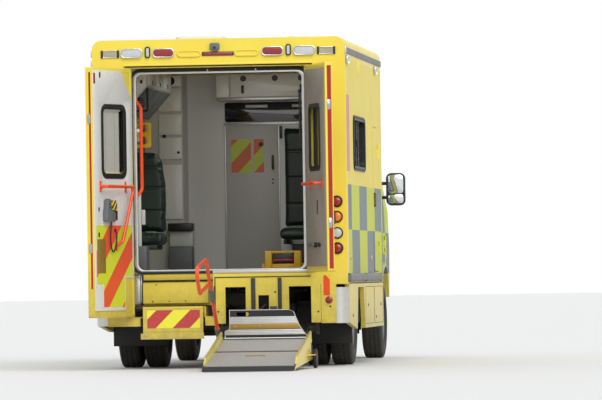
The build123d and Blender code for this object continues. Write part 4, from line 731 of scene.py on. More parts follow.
def tyre(centre_x, centre_y):
    """A ribbed tyre whose ribs are cut into blocks round the outside."""
    half = TYRE_HALF
    side = [
        (0.78 * half, 0.206), (0.90 * half, 0.214), (0.985 * half, 0.232), (0.999 * half, 0.262),
        (0.975 * half, 0.290), (0.93 * half, 0.312), (0.88 * half, 0.328), (0.80 * half, TREAD_FOOT),
    ]
    ribs = []
    for groove in GROOVES:
        ribs += [((groove + 0.055) * half, 0.3435), ((groove + 0.045) * half, 0.336),
                 ((groove - 0.045) * half, 0.336), ((groove - 0.055) * half, 0.3440)]
    right = side + [(0.72 * half, 0.3425)] + ribs
    left = [(-along, radius) for along, radius in reversed(right)]
    inside = [(-0.70 * half, 0.2055), (0.70 * half, 0.2055)]
    shape = turned(right + left + inside, "X", (0, 0, 0), TREAD_STEPS * SIPE_SPLIT, closed=True)
    for vert in shape.verts:
        radius = math.hypot(vert.co.y, vert.co.z)
        if radius > TREAD_FOOT + 0.001:
            turn = math.atan2(vert.co.y, vert.co.z) / (2 * math.pi) * TREAD_STEPS * SIPE_SPLIT
            lean = 0 if abs(vert.co.x) < 0.4 * half else (2 if vert.co.x > 0 else 1)
            if (round(turn) + lean) % SIPE_SPLIT == 0:
                scale = TREAD_FOOT / radius
                vert.co.y *= scale
                vert.co.z *= scale
    bmesh.ops.translate(shape, vec=(centre_x, centre_y, AXLE_Z), verts=shape.verts)
    return shape


def steel_wheel(centre_x, centre_y, dish_x, outward):
    """Rim with its well and flanges, and a dished disc."""
    half = TYRE_HALF * 0.78
    rim = turned([
        (-half, 0.2045), (-half, 0.210), (-half + 0.006, 0.2045), (-0.35 * half, 0.190),
        (0.35 * half, 0.190), (half - 0.006, 0.2045), (half, 0.210), (half, 0.2045),
        (half - 0.006, 0.196), (0.30 * half, 0.182), (-0.30 * half, 0.182), (-half + 0.006, 0.196),
    ], "X", (centre_x, centre_y, AXLE_Z), 64, closed=True)
    step = outward * 0.044
    thick = outward * 0.008
    disc_shape = turned([
        (dish_x, 0.058), (dish_x, 0.112), (dish_x - step * 0.4, 0.130), (dish_x - step * 0.6, 0.160),
        (dish_x - step, 0.176), (dish_x - step, 0.1815), (dish_x - step - thick, 0.1815),
        (dish_x - step - thick, 0.172), (dish_x - step * 0.6 - thick, 0.154),
        (dish_x - step * 0.4 - thick, 0.126), (dish_x - thick, 0.108), (dish_x - thick, 0.058),
    ], "X", (0, centre_y, AXLE_Z), 64, closed=True)
    return [rim, disc_shape]


def around(x, centre_y, radius, count, lead):
    """Points evenly round an axle, the first of them a share of a step on."""
    for index in range(count):
        angle = (index + lead) * 2 * math.pi / count
        yield x, centre_y + radius * math.cos(angle), AXLE_Z + radius * math.sin(angle)


def wheel_nuts(dish_x, centre_y, outward):
    profile = [(0, 0.0), (0, 0.013), (outward * 0.014, 0.013), (outward * 0.018, 0.009),
               (outward * 0.018, 0.0)]
    return [turned(profile, "X", place, 6) for place in around(dish_x, centre_y, 0.085, 6, 0.0)]


def hand_hole_shades(centre_y, depth_x, outward):
    """Dark round discs that stand for the holes in the wheel: painted shade where each hole would show the
    dark behind the disc.
    """
    return [disc("X", place, 0.016, outward * 0.002, 0, 20)
            for place in around(depth_x, centre_y, 0.146, 8, 0.5)]


FRONT_WHEEL_X = 0.8725
REAR_WHEEL_X = (0.9175, 0.6985)
REAR_DISC_X = 0.808


def front_wheels():
    for side, word in ((-1, "left"), (1, "right")):
        body = f"wheel_front_{word}"
        dish = side * (FRONT_WHEEL_X + 0.052)
        made = piece(f"front_tyre_{word}", tyre(side * FRONT_WHEEL_X, FRONT_AXLE), TYRE, body, smooth=28)
        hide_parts(f"wheel_front_{word}")
        hub = turned([(dish - side * 0.012, 0), (dish - side * 0.012, 0.057), (dish + side * 0.010, 0.057),
                      (dish + side * 0.024, 0.044), (dish + side * 0.028, 0.030), (dish + side * 0.028, 0)],
                     "X", (0, FRONT_AXLE, AXLE_Z), 40)
        shapes = steel_wheel(side * FRONT_WHEEL_X, FRONT_AXLE, dish, side) + [hub]
        piece(f"front_rim_{word}", shapes, WHEEL_PAINT, body)
        piece(f"front_nuts_{word}", wheel_nuts(dish, FRONT_AXLE, side), ZINC, body)
        # Painted shade in the hand holes of the front wheels
        holes = hand_hole_shades(FRONT_AXLE, dish - side * 0.0205, side)
        piece(f"front_rim_hole_shades_{word}", holes, PLASTIC, body)


def rear_wheels():
    for side, word in ((-1, "left"), (1, "right")):
        body = f"wheel_rear_{word}"
        tyres = [tyre(side * x, REAR_AXLE) for x in REAR_WHEEL_X]
        made = piece(f"rear_tyres_{word}", tyres, TYRE, body, smooth=28)
        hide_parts(f"wheel_rear_{word}")
        dish = side * REAR_DISC_X
        hub = turned([(dish - side * 0.024, 0), (dish - side * 0.024, 0.057), (dish + side * 0.056, 0.057),
                      (dish + side * 0.066, 0.050), (dish + side * 0.078, 0.040), (dish + side * 0.078, 0)],
                     "X", (0, REAR_AXLE, AXLE_Z), 40)
        shapes = steel_wheel(side * REAR_WHEEL_X[0], REAR_AXLE, dish + side * 0.001, -side)
        shapes += steel_wheel(side * REAR_WHEEL_X[1], REAR_AXLE, dish - side * 0.001, side) + [hub]
        piece(f"rear_rims_{word}", shapes, WHEEL_PAINT, body)
        piece(f"rear_nuts_{word}", wheel_nuts(dish + side * 0.009, REAR_AXLE, side), ZINC, body)


front_wheels()
rear_wheels()


# Flat sheets with holes are drawn as filled outlines

def plate(outlines, axis, low, high, bevel=0.0):
    """A flat sheet: the first outline is its edge, and the others are cut out of it."""
    curve = bpy.data.curves.new("sheet", "CURVE")
    curve.dimensions = "2D"
    curve.fill_mode = "BOTH"
    curve.extrude = (high - low) / 2 - bevel
    curve.bevel_depth = bevel
    curve.bevel_resolution = 1
    curve.offset = -bevel
    for points in outlines:
        spline = curve.splines.new("POLY")
        spline.points.add(len(points) - 1)
        for point, place in zip(spline.points, points):
            point.co = (*place, 0.0, 1.0)
        spline.use_cyclic_u = True
    holder = bpy.data.objects.new("sheet", curve)
    mesh = bpy.data.meshes.new_from_object(holder)
    shape = bmesh.new()
    shape.from_mesh(mesh)
    bpy.data.objects.remove(holder)
    bpy.data.curves.remove(curve)
    bpy.data.meshes.remove(mesh)
    bmesh.ops.remove_doubles(shape, verts=shape.verts, dist=DOUBLES)
    middle = (low + high) / 2
    for vert in shape.verts:
        vert.co = placed((vert.co.x, vert.co.y), axis, middle + vert.co.z)
    bmesh.ops.recalc_face_normals(shape, faces=shape.faces)
    return shape


# Rear doors: everything on them is drawn on the closed door and turned with it.
# Closed, a leaf lies between the rear face and INSIDE, with its pin at the side of the opening.

OPENING_HALF = BODY_HALF - 0.275
PIN_OUT = 0.014
LEAF = 0.060
INSIDE = REAR + LEAF
DOOR_OPEN = {-1: 110.6, 1: 107.1}
DOOR_BODY = {-1: "rear_door_left", 1: "rear_door_right"}
WINDOW_Z = (1.660, 2.200)


def door_place(side):
    """The turn that carries the closed door to where it stands."""
    pin = Vector((side * OPENING_HALF, REAR - PIN_OUT, 0))
    turn = Matrix.Rotation(math.radians(side * DOOR_OPEN[side]), 4, "Z")
    return Matrix.Translation(pin) @ turn @ Matrix.Translation(-pin)


def on_door(name, side, shapes, material, slot=None):
    """A piece of shapes drawn on the closed door."""
    body = DOOR_BODY[side]
    return piece(f"{body}_{name}", moved(merged(shapes), door_place(side)), material, body, slot)


def door_film(name, side, first, second, pitch, lean):
    """Bands drawn on the closed door."""
    turn = (0, 0, math.radians(side * DOOR_OPEN[side]))
    return chevron_film(name, first, second, pitch, lean, turn, door_place(side).to_translation())


DOOR_PITCH = 0.2235
DOOR_LEAN = 0.96
# Retroreflective film in lime and orange, inside the left door and outside both
LEFT_CHEVRONS = door_film("reflective_film_lime_orange", -1, FILM_LIME, FILM_ORANGE, DOOR_PITCH, DOOR_LEAN)
OUTER_CHEVRONS_LEFT = door_film("reflective_film_outer_left", -1, FILM_LIME, FILM_ORANGE, DOOR_PITCH,
                                -DOOR_LEAN)
OUTER_CHEVRONS_RIGHT = door_film("reflective_film_outer_right", 1, FILM_LIME, FILM_ORANGE, DOOR_PITCH,
                                 DOOR_LEAN)
# Black and yellow hazard film on the holder of the hand control
HAZARD = door_film("hazard_film_black_yellow", -1, "#e6c21c", "#17171a", 0.030, 1.0)

DOORS = {  # side: X of the meeting edge, foot, X limits of the window, all on the closed door
    -1: (-0.076, 0.446, (-0.680, -0.240)),
    1: (-0.070, 0.805, (0.145, 0.585)),
}
DOOR_TOP = 2.544
LATCH_HEIGHTS = {-1: (1.026, 2.110), 1: (1.208, 2.190)}
TAPE = {-1: ((0.032, 0.050), (0.690, 2.500)), 1: ((0.009, 0.042), (0.830, 2.515))}
HINGE_HEIGHTS = (0.945, 1.500, 2.330)
HINGE_LENGTH = 0.110
HINGE_LEAF = 0.110
LEAF_GAP = 0.006  # between the leaf and its pin


def door_span(side):
    """Low and high X of the closed leaf."""
    edges = (DOORS[side][0], side * (OPENING_HALF - LEAF_GAP))
    return min(edges), max(edges)


def door_leaf(side):
    """Pressed leaf with its window hole, glazing seal, pane, hinges, latches and edge tape."""
    meet, foot, window = DOORS[side]
    low, high = door_span(side)
    hole = rounded((window[0], WINDOW_Z[0]), (window[1], WINDOW_Z[1]), 0.060, 7)
    edge = rounded((low, foot), (high, DOOR_TOP), 0.014)
    core_edge = rounded((low + 0.003, foot + 0.003), (high - 0.003, DOOR_TOP - 0.003), 0.012)
    fold_edge = rounded((low + 0.030, foot + 0.030), (high - 0.030, DOOR_TOP - 0.030), 0.020)
    skin = plate([edge, hole], "Y", REAR, REAR + 0.006, 0.002)
    core = plate([core_edge, hole], "Y", REAR + 0.006, INSIDE - 0.002, 0.001)
    # A shallow fold runs round the leaf between its outer skin and its inner frame
    fold = plate([edge, fold_edge], "Y", INSIDE - 0.012, INSIDE, 0.002)
    made = on_door("leaf", side, [skin, core, fold], PAINT)
    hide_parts(DOOR_BODY[side])
    inner = rounded((window[0] + 0.016, WINDOW_Z[0] + 0.016), (window[1] - 0.016, WINDOW_Z[1] - 0.016),
                    0.046, 7)
    outer = rounded((window[0] - 0.012, WINDOW_Z[0] - 0.012), (window[1] + 0.012, WINDOW_Z[1] + 0.012),
                    0.070, 7)
    seals = [plate([outer, inner], "Y", REAR - 0.004, REAR + 0.003, 0.002),
             plate([hole, inner], "Y", REAR + 0.003, REAR + 0.030, 0.001)]
    on_door("glazing_seal", side, seals, RUBBER)
    on_door("pane", side, [plate([inner], "Y", REAR + 0.018, REAR + 0.023, 0.0005)], PRIVACY_GLASS)
    knuckles = []
    for height in HINGE_HEIGHTS:
        profile = [(0, 0), (0, 0.011), (0.003, 0.013), (HINGE_LENGTH - 0.003, 0.013), (HINGE_LENGTH, 0.011),
                   (HINGE_LENGTH, 0)]
        knuckles.append(turned(profile, "Z", (side * OPENING_HALF, REAR - PIN_OUT, height), 24))
        leaf_x = sorted((side * (OPENING_HALF - HINGE_LEAF), side * (OPENING_HALF - LEAF_GAP)))
        knuckles.append(slab((leaf_x[0], REAR - 0.007, height),
                             (leaf_x[1], REAR - SKIN, height + HINGE_LENGTH), 0.002))
    on_door("hinges", side, knuckles, PAINT)
    tape_x = meet + side * 0.0005
    tape_y, tape_z = TAPE[side]
    tape = slab((tape_x - 0.0009, REAR + tape_y[0], tape_z[0]),
                (tape_x + 0.0009, REAR + tape_y[1], tape_z[1]))
    on_door("edge_tape", side, [tape], RED_TAPE)
    latches = []
    for height in LATCH_HEIGHTS[side]:
        face = rounded((REAR + 0.014, height - 0.043), (REAR + 0.046, height + 0.043), 0.0155, 8)
        latches.append(solid(face, "X", meet - side * 0.0015, meet + side * 0.002, 0.0010))
        tongue = rounded((REAR + 0.022, height - 0.016), (REAR + 0.038, height + 0.016), 0.006, 4)
        latches.append(solid(tongue, "X", meet - side * 0.0025, meet, 0.001))
    on_door("latches", side, latches, ZINC)


def screw_heads(places, along):
    """Small domed heads on the inner face of a door."""
    shapes = []
    for x, z in places:
        profile = [(0, 0.0045), (0.0012, 0.0040), (0.0022, 0.0022), (0.0025, 0)]
        shapes.append(turned(profile, "Y", (x, along, z), 10))
    return shapes


BOARD = 0.005
BOARD_FACE = INSIDE + BOARD
GRAB_TUBE = 0.0145
SLAT_PITCH = 0.0155


def left_door_inside():
    """White board, window surround with its blind, chevrons, grab rail and the blank plates."""
    side = -1
    window_outer = rounded((-0.668, 1.612), (-0.226, 2.238), 0.080, 7)
    window_inner = rounded((-0.622, 1.656), (-0.262, 2.196), 0.045, 7)
    board = [(-0.090, 0.505), (-0.090, 2.520), (-0.612, 2.520), (-0.616, 2.490), (-0.778, 2.285),
             (-0.778, 0.777), (-0.640, 0.777), (-0.623, 0.760), (-0.623, 0.505)]
    on_door("board", side, [plate([board, window_outer], "Y", INSIDE, BOARD_FACE, 0.001)], GELCOAT)
    surround = plate([window_outer, window_inner], "Y", INSIDE - 0.004, BOARD_FACE + 0.006, 0.003)
    on_door("window_surround", side, [surround], PLASTIC)
    slats = []
    for index in range(34):
        foot = 1.668 + index * SLAT_PITCH
        slat = slab((-0.580, INSIDE - 0.020, foot), (-0.272, INSIDE - 0.0185, foot + 0.0150))
        turn = Matrix.Translation((0, INSIDE - 0.019, foot)) @ Matrix.Rotation(math.radians(-14), 4, "X")
        slats.append(moved(slat, turn @ Matrix.Translation((0, -(INSIDE - 0.019), -foot))))
    slats.append(slab((-0.584, INSIDE - 0.026, 1.658), (-0.268, INSIDE - 0.012, 1.668), 0.002))
    slats.append(slab((-0.590, INSIDE - 0.030, 2.178), (-0.264, INSIDE - 0.006, 2.200), 0.003))
    on_door("blind", side, slats, BLIND)
    cords = [pipe([(x, INSIDE - 0.0165, 1.664), (x, INSIDE - 0.0165, 2.180)], 0.0009)
             for x in (-0.500, -0.340)]
    on_door("blind_ladders", side, cords, GREY_PLASTIC)
    chevrons = [(-0.115, 0.727), (-0.115, 1.220), (-0.752, 1.220), (-0.752, 0.795), (-0.606, 0.795),
                (-0.606, 0.535), (-0.233, 0.535), (-0.233, 0.727)]
    on_door("chevrons", side, [plate([chevrons], "Y", BOARD_FACE, BOARD_FACE + 0.0008)], LEFT_CHEVRONS,
            "orange_tube")
    ochre = rounded((-0.274, 0.820), (-0.129, 1.105), 0.006, 3)
    on_door("blank_plate", side, [plate([ochre], "Y", BOARD_FACE + 0.0008, BOARD_FACE + 0.0022, 0.0005)],
            OCHRE)
    red = rounded((-0.132, 2.405), (-0.100, 2.495), 0.003, 2)
    on_door("red_label_blank", side, [plate([red], "Y", BOARD_FACE, BOARD_FACE + 0.0008)], RED_TAPE)
    slot = rounded((-0.226, 2.455), (-0.202, 2.505), 0.0115, 5)
    eye = rounded((-0.176, 1.335), (-0.158, 1.372), 0.0085, 5)
    low_slot = rounded((-0.174, 1.120), (-0.150, 1.162), 0.0115, 5)
    marks = [plate([outline], "Y", BOARD_FACE, BOARD_FACE + 0.003, 0.001)
             for outline in (slot, eye, low_slot)]
    on_door("grommets", side, marks, PLASTIC)
    rows = [(-0.102, z) for z in (0.53, 0.70, 1.45, 1.72, 2.0, 2.27, 2.50)]
    rows += [(-0.766, z) for z in (0.80, 1.05, 1.30, 1.60, 1.80, 2.00, 2.20)]
    rows += [(x, 2.508) for x in (-0.22, -0.36, -0.50)] + [(x, 0.532) for x in (-0.22, -0.40, -0.58)]
    rows += [(-0.240, 1.480), (-0.520, 1.480), (-0.240, 1.236), (-0.520, 1.236)]
    on_door("screws", side, screw_heads(rows, BOARD_FACE), ZINC)
    grab_rail(side, ((-0.197, 1.545), (-0.640, 1.545)), 0.065)
    leg = bent([(-0.655, BOARD_FACE + 0.060, 1.546), (-0.663, BOARD_FACE + 0.060, 1.500),
                (-0.620, BOARD_FACE + 0.058, 1.400), (-0.550, BOARD_FACE + 0.058, 1.240),
                (-0.478, BOARD_FACE + 0.056, 1.085), (-0.455, BOARD_FACE + 0.016, 1.052)], 0.02)
    foot = slab((-0.480, BOARD_FACE, 1.006), (-0.452, BOARD_FACE + 0.004, 1.090), 0.001)
    on_door("rail_leg", side, [pipe(leg, GRAB_TUBE, smooth=6), foot], ORANGE)


def grab_rail(side, ends, stand):
    """A straight rail that stands off a door on two upright foot plates."""
    shapes = []
    (first_x, height), (last_x, _) = ends
    for x in (first_x, last_x):
        shapes.append(slab((x - 0.014, BOARD_FACE, height - 0.046),
                           (x + 0.014, BOARD_FACE + 0.005, height + 0.046), 0.0015))
        shapes += [disc("Y", (x, BOARD_FACE + 0.004, height + lift), 0.006, 0.004, 0.001, 12)
                   for lift in (-0.034, 0.034)]
    line = bent([(first_x, BOARD_FACE + 0.003, height), (first_x, BOARD_FACE + stand, height),
                 (last_x + 0.020 * side, BOARD_FACE + stand, height)], 0.022)
    shapes.append(pipe(line, GRAB_TUBE, smooth=6))
    shapes.append(pipe([(last_x, BOARD_FACE + 0.003, height), (last_x, BOARD_FACE + stand, height)], 0.012))
    on_door("grab_rail", side, shapes, ORANGE)


def right_door_inside():
    """Board, grab rail, slot, amber button and the stay on the right leaf."""
    side = 1
    low, high = door_span(side)
    window = DOORS[side][2]
    hole = rounded((window[0] - 0.012, 1.648), (window[1] + 0.012, 2.212), 0.070, 7)
    inner = rounded((window[0] + 0.030, 1.690), (window[1] - 0.030, 2.170), 0.045, 7)
    board = rounded((low + 0.028, 0.850), (high - 0.020, 2.505), 0.012, 4)
    # The grey-brown of the right board is painted shade
    on_door("board", side, [plate([board, hole], "Y", INSIDE, BOARD_FACE, 0.001)], SHADED_BOARD)
    on_door("window_surround", side, [plate([hole, inner], "Y", INSIDE - 0.004, BOARD_FACE + 0.005, 0.002)],
            PLASTIC)
    grab_rail(side, ((0.080, 1.542), (0.560, 1.542)), 0.065)
    slot = rounded((0.272, 1.285), (0.304, 1.406), 0.015, 6)
    on_door("slot", side, [plate([slot], "Y", BOARD_FACE, BOARD_FACE + 0.003, 0.001)], PLASTIC)
    button = turned([(0, 0.013), (0.004, 0.013), (0.007, 0.009), (0.008, 0)], "Y",
                    (0.288, BOARD_FACE, 1.114), 24)
    on_door("amber_button", side, [button], AMBER_LENS)
    rod = [pipe([(0.150, BOARD_FACE + 0.010, 1.030), (0.340, BOARD_FACE + 0.010, 1.030)], 0.007),
           slab((0.200, BOARD_FACE, 1.012), (0.226, BOARD_FACE + 0.018, 1.048), 0.003),
           slab((0.330, BOARD_FACE, 1.008), (0.370, BOARD_FACE + 0.022, 1.052), 0.004)]
    on_door("latch_rod", side, rod, PLASTIC)
    stay = [slab((0.360, BOARD_FACE + 0.012, 1.018), (0.630, BOARD_FACE + 0.020, 1.044), 0.002),
            disc("Y", (0.374, BOARD_FACE + 0.018, 1.031), 0.010, 0.008, 0.002, 20)]
    on_door("stay", side, stay, ZINC)
    rows = [(x, z) for x in (low + 0.040, high - 0.032) for z in (0.90, 1.20, 1.60, 2.00, 2.40)]
    on_door("screws", side, screw_heads(rows, BOARD_FACE), ZINC)


def pendant():
    """Hand control of the lift in its holder."""
    side = -1
    face = BOARD_FACE
    case = plate([[(-0.238, 1.250), (-0.228, 1.262), (-0.228, 1.345), (-0.240, 1.362), (-0.248, 1.432),
                   (-0.272, 1.444), (-0.296, 1.432), (-0.312, 1.362), (-0.375, 1.330), (-0.382, 1.262),
                   (-0.370, 1.250)]], "Y", face + 0.006, face + 0.050, 0.006)
    on_door("pendant", side, [case], GREY_PLASTIC)
    front = plate([[(-0.304, 1.352), (-0.300, 1.428), (-0.372, 1.430), (-0.392, 1.400), (-0.392, 1.340)]],
                  "Y", face + 0.010, face + 0.056, 0.003)
    on_door("pendant_holder", side, [front], HAZARD, "yellow_paint")
    edge = plate([[(-0.384, 1.262), (-0.384, 1.340), (-0.404, 1.372), (-0.420, 1.340), (-0.420, 1.262)]],
                 "Y", face + 0.002, face + 0.044, 0.004)
    keys = [disc("Y", (x, face + 0.049, z), 0.009, 0.004, 0.001, 20)
            for x, z in ((-0.268, 1.400), (-0.268, 1.370))]
    on_door("pendant_cradle", side, [edge] + keys, PLASTIC)


for door_side in DOORS:
    door_leaf(door_side)
left_door_inside()
right_door_inside()
pendant()


# The doorway: seals, inner flange, sill and the entry rail

DOORWAY_SEAL = ((-0.764, 0.804), (0.748, 2.548), 0.085)
DOORWAY_LIP = ((-0.744, 0.826), (0.728, 2.518), 0.068)
DOORWAY_INNER = ((-0.714, 0.840), (0.698, 2.500), 0.052)
WELL_EDGE = -0.080
JAMB_FITTINGS = station(0.125)
FLOOR_LEVEL = 0.825


def doorway():
    outer, lip, inner = (rounded(*limits, 7) for limits in (DOORWAY_SEAL, DOORWAY_LIP, DOORWAY_INNER))
    piece("doorway_seal", plate([outer, lip], "Y", station(0.078), station(0.104), 0.005), RUBBER)
    piece("doorway_flange", plate([lip, inner], "Y", station(0.084), station(0.112), 0.003), ALUMINIUM)
    sills = [
        slab((WELL_EDGE, station(0.066), FLOOR_LEVEL), (0.790, station(0.130), FLOOR_LEVEL + 0.004), 0.001),
        slab((WELL_EDGE, station(0.063), 0.803), (0.790, station(0.067), FLOOR_LEVEL + 0.004), 0.001),
        slab((-0.790, station(0.224), FLOOR_LEVEL), (WELL_EDGE, station(0.285), FLOOR_LEVEL + 0.004),
             0.001),
        slab((-0.790, station(0.222), 0.803), (WELL_EDGE, station(0.226), FLOOR_LEVEL + 0.004), 0.001),
    ]
    piece("door_sills", sills, ALUMINIUM)
    screws = [disc("Z", (x, station(0.098), FLOOR_LEVEL + 0.003), 0.005, 0.002, 0.001, 10)
              for x in (0.05, 0.20, 0.35, 0.50, 0.65)]
    piece("door_sill_screws", screws, ZINC)
    lines = [
        slab((-0.058, REAR - 0.006, 0.766), (0.760, REAR - SKIN, 0.774), 0.002),
        slab((-0.058, REAR - 0.006, 0.440), (-0.050, REAR - SKIN, 0.770), 0.002),
        # The top strip is painted shadow in the gap under the gutter; the two lines above it are seals
        slab((-0.796, REAR - 0.004, 2.556), (0.796, REAR - SKIN, 2.566), 0.001),
    ]
    piece("doorway_seals_and_header_shadow", lines, RUBBER)
    gutter = solid([(REAR - 0.022, 2.568), (REAR - 0.022, 2.577), (REAR - 0.012, 2.590),
                    (REAR - SKIN, 2.590), (REAR - SKIN, 2.568)], "X", -0.800, 0.800, 0.002)
    piece("door_gutter", gutter, PAINT)
    rail = bent([(-0.732, station(0.112), 2.290), (-0.686, station(0.178), 2.225),
                 (-0.686, station(0.178), 1.520), (-0.732, station(0.112), 1.455)], 0.060)
    feet = [disc("Y", (-0.732, station(0.110), height), 0.024, 0.006, 0.002, 24)
            for height in (1.455, 2.290)]
    piece("entry_rail", [pipe(rail, 0.0150)] + feet, ORANGE)
    clips = [slab((x - 0.006, station(0.076), 2.516), (x + 0.006, station(0.100), 2.536), 0.002)
             for x in (-0.100, 0.310)]
    piece("header_clips", clips, ZINC)
    loom = bent([(0.716, station(0.130), 2.500), (0.704, JAMB_FITTINGS, 2.440),
                 (0.700, JAMB_FITTINGS, 2.200), (0.694, station(0.130), 2.020),
                 (0.704, station(0.140), 1.930)], 0.060)
    piece("right_jamb_loom", pipe(loom, 0.008, sides=2), RUBBER)
    gas = [pipe([(0.676, JAMB_FITTINGS, 2.330), (0.676, JAMB_FITTINGS, 1.950)], 0.010),
           disc("Z", (0.676, JAMB_FITTINGS, 1.930), 0.014, 0.025, 0.003, 20),
           disc("Z", (0.676, JAMB_FITTINGS, 2.325), 0.014, 0.025, 0.003, 20)]
    piece("right_jamb_strut", gas, PLASTIC)


doorway()


# Lower rear: step, its well, the lift panel and the reflectors

STEP_X = (-0.629, -0.181)
STEP_FACE = station(-0.050)


def step_and_well():
    film = rounded((STEP_X[0], 0.348), (STEP_X[1], 0.500), 0.004, 2)
    piece("step_chevrons", solid(film, "Y", STEP_FACE - 0.0012, STEP_FACE - FILM_GAP), STEP_FILM,
          "entry_step")
    rim = ring(rounded((-0.655, 0.318), (-0.165, 0.522), 0.008, 3),
               rounded((-0.641, 0.334), (-0.172, 0.510), 0.006, 3), "Y", STEP_FACE - 0.0024,
               STEP_FACE - FILM_GAP, 0.0008)
    piece("step_rim", rim, PAINT, "entry_step")
    ribs = []
    for index in range(10):
        back = station(-0.030) + index * 0.022
        ribs.append(slab((STEP_X[0], back, 0.530), (STEP_X[1], back + 0.008, 0.5325), 0.001, 1))
    piece("step_tread_strips", ribs, GRIT, "entry_step")
    bolts = [disc("Y", (x, STEP_FACE - 0.008, 0.285), 0.007, -0.003, 0.0, 12)
             for x in (-0.640, -0.410, -0.180)]
    piece("step_bolts", bolts, ZINC, "entry_step")
    dots = [disc("Y", (x, station(0.1542), z), 0.006, -0.003, 0.0005, 12)
            for x, z in ((-0.605, 0.574), (-0.464, 0.574), (-0.323, 0.574), (-0.574, 0.716))]
    piece("riser_plugs", dots, PLASTIC)
    box = solid([(station(0.154), 0.556), (station(0.152), 0.724), (station(0.162), 0.735),
                 (station(0.2275), 0.735), (station(0.2275), 0.556)], "X", -0.688, -0.130, 0.004)
    piece("step_motor_cover", box, PAINT)
    # Black slabs round the step motor cover: painted shade in the gaps of the well's recess
    recess = [slab((-0.786, station(0.215), 0.545), (-0.690, station(0.227), 0.800), 0.003),
              slab((-0.092, station(0.215), 0.545), (-0.083, station(0.227), 0.800), 0.002),
              slab((-0.688, station(0.205), 0.741), (-0.094, station(0.227), 0.754), 0.003)]
    piece("well_recess_shade", recess, PLASTIC)
    post = [slab((-0.782, station(0.202), 0.550), (-0.716, station(0.214), 0.796), 0.003),
            slab((-0.712, station(0.196), 0.560), (-0.702, station(0.214), 0.790), 0.002)]
    piece("well_posts", post, ALUMINIUM)
    link = [disc("X", (-0.745, station(0.140), 0.515), 0.026, 0.060, 0.006, 28),
            slab((-0.700, station(0.125), 0.500), (-0.676, station(0.190), 0.532), 0.004),
            pipe([(-0.740, station(0.128), 0.520), (-0.690, station(0.118), 0.512)], 0.006)]
    piece("well_link", link, PLASTIC)


SLOTS = ((0.032, 0.205, 0.686), (0.312, 0.402, 0.614), (0.572, 0.760, 0.686))  # X from, X to, top
SLOT_FOOT = 0.380


def lift_panel_fittings():
    folds = []
    for low, high, top in SLOTS:
        width = 0.020 if top < 0.65 else 0.012
        outline = [(low - width, SLOT_FOOT), (low - width, top + width), (high + width, top + width),
                   (high + width, SLOT_FOOT), (high, SLOT_FOOT), (high, top), (low, top), (low, SLOT_FOOT)]
        folds.append(solid(outline, "Y", REAR - 0.004, REAR - FILM_GAP, 0.001))
    piece("lift_panel_folds", folds, PAINT)
    rails = []
    for low, high in ((0.252, 0.288), (0.479, 0.512)):
        rails.append(slab((low, REAR - 0.012, 0.400), (high, REAR - SKIN, 0.760), 0.003))
        rails.append(slab((low + 0.010, REAR - 0.015, 0.402), (high - 0.010, REAR - 0.011, 0.758), 0.001))
    rails.append(slab((0.410, REAR - 0.010, 0.470), (0.470, REAR - SKIN, 0.520), 0.003))
    piece("lift_panel_rails", rails, CHASSIS)
    plugs = [disc("Y", (x, REAR, z), 0.008, -0.003, 0, 14)
             for x, z in ((-0.030, 0.480), (0.455, 0.640), (0.922, 0.512), (0.820, 0.470))]
    piece("lift_panel_plugs", plugs, PLASTIC)
    orange = [(0.866, 0.605), (0.920, 0.605), (0.920, 0.738), (0.886, 0.776), (0.866, 0.776)]
    lime = [(0.888, 0.776), (0.920, 0.740), (0.920, 0.776)]
    piece("corner_film_orange", solid(orange, "Y", REAR - 0.0014, REAR - 0.0004), ORANGE_FILM)
    piece("corner_film_lime", solid(lime, "Y", REAR - 0.0014, REAR - 0.0004), LIME_FILM)
    for name, x in (("round_reflector", 0.912), ("round_reflector_left", -0.912)):
        profile = [(0, 0.031), (-0.006, 0.031), (-0.009, 0.027), (-0.010, 0)]
        piece(name, turned(profile, "Y", (x, REAR, 0.567), 32), RED_LENS)


step_and_well()
lift_panel_fittings()


# The lift: strips and ribs on the flap and the platform, guards, and the grip of the rail

FLAP_FACE = station(-0.344)
FLAP_FOOT = 0.256
FLAP_RIGHT = ((0.0, 0.770), (0.055, 0.725), (0.110, 0.690), (0.220, 0.645), (0.240, 0.600))  # height, X


def flap_edge(height):
    """X of the right edge of the flap at a height over its hinge."""
    for (low, x_low), (high, x_high) in zip(FLAP_RIGHT, FLAP_RIGHT[1:]):
        if height <= high:
            return x_low + (x_high - x_low) * (height - low) / (high - low)
    return FLAP_RIGHT[-1][1]


def flap_strip(low, high):
    left = 0.106 if low > 0.070 else 0.068
    points = [(left, FLAP_FOOT + low), (flap_edge(low) - 0.006, FLAP_FOOT + low)]
    points += [(x - 0.006, FLAP_FOOT + height) for height, x in FLAP_RIGHT if low < height < high]
    return points + [(flap_edge(high) - 0.006, FLAP_FOOT + high), (left, FLAP_FOOT + high)]


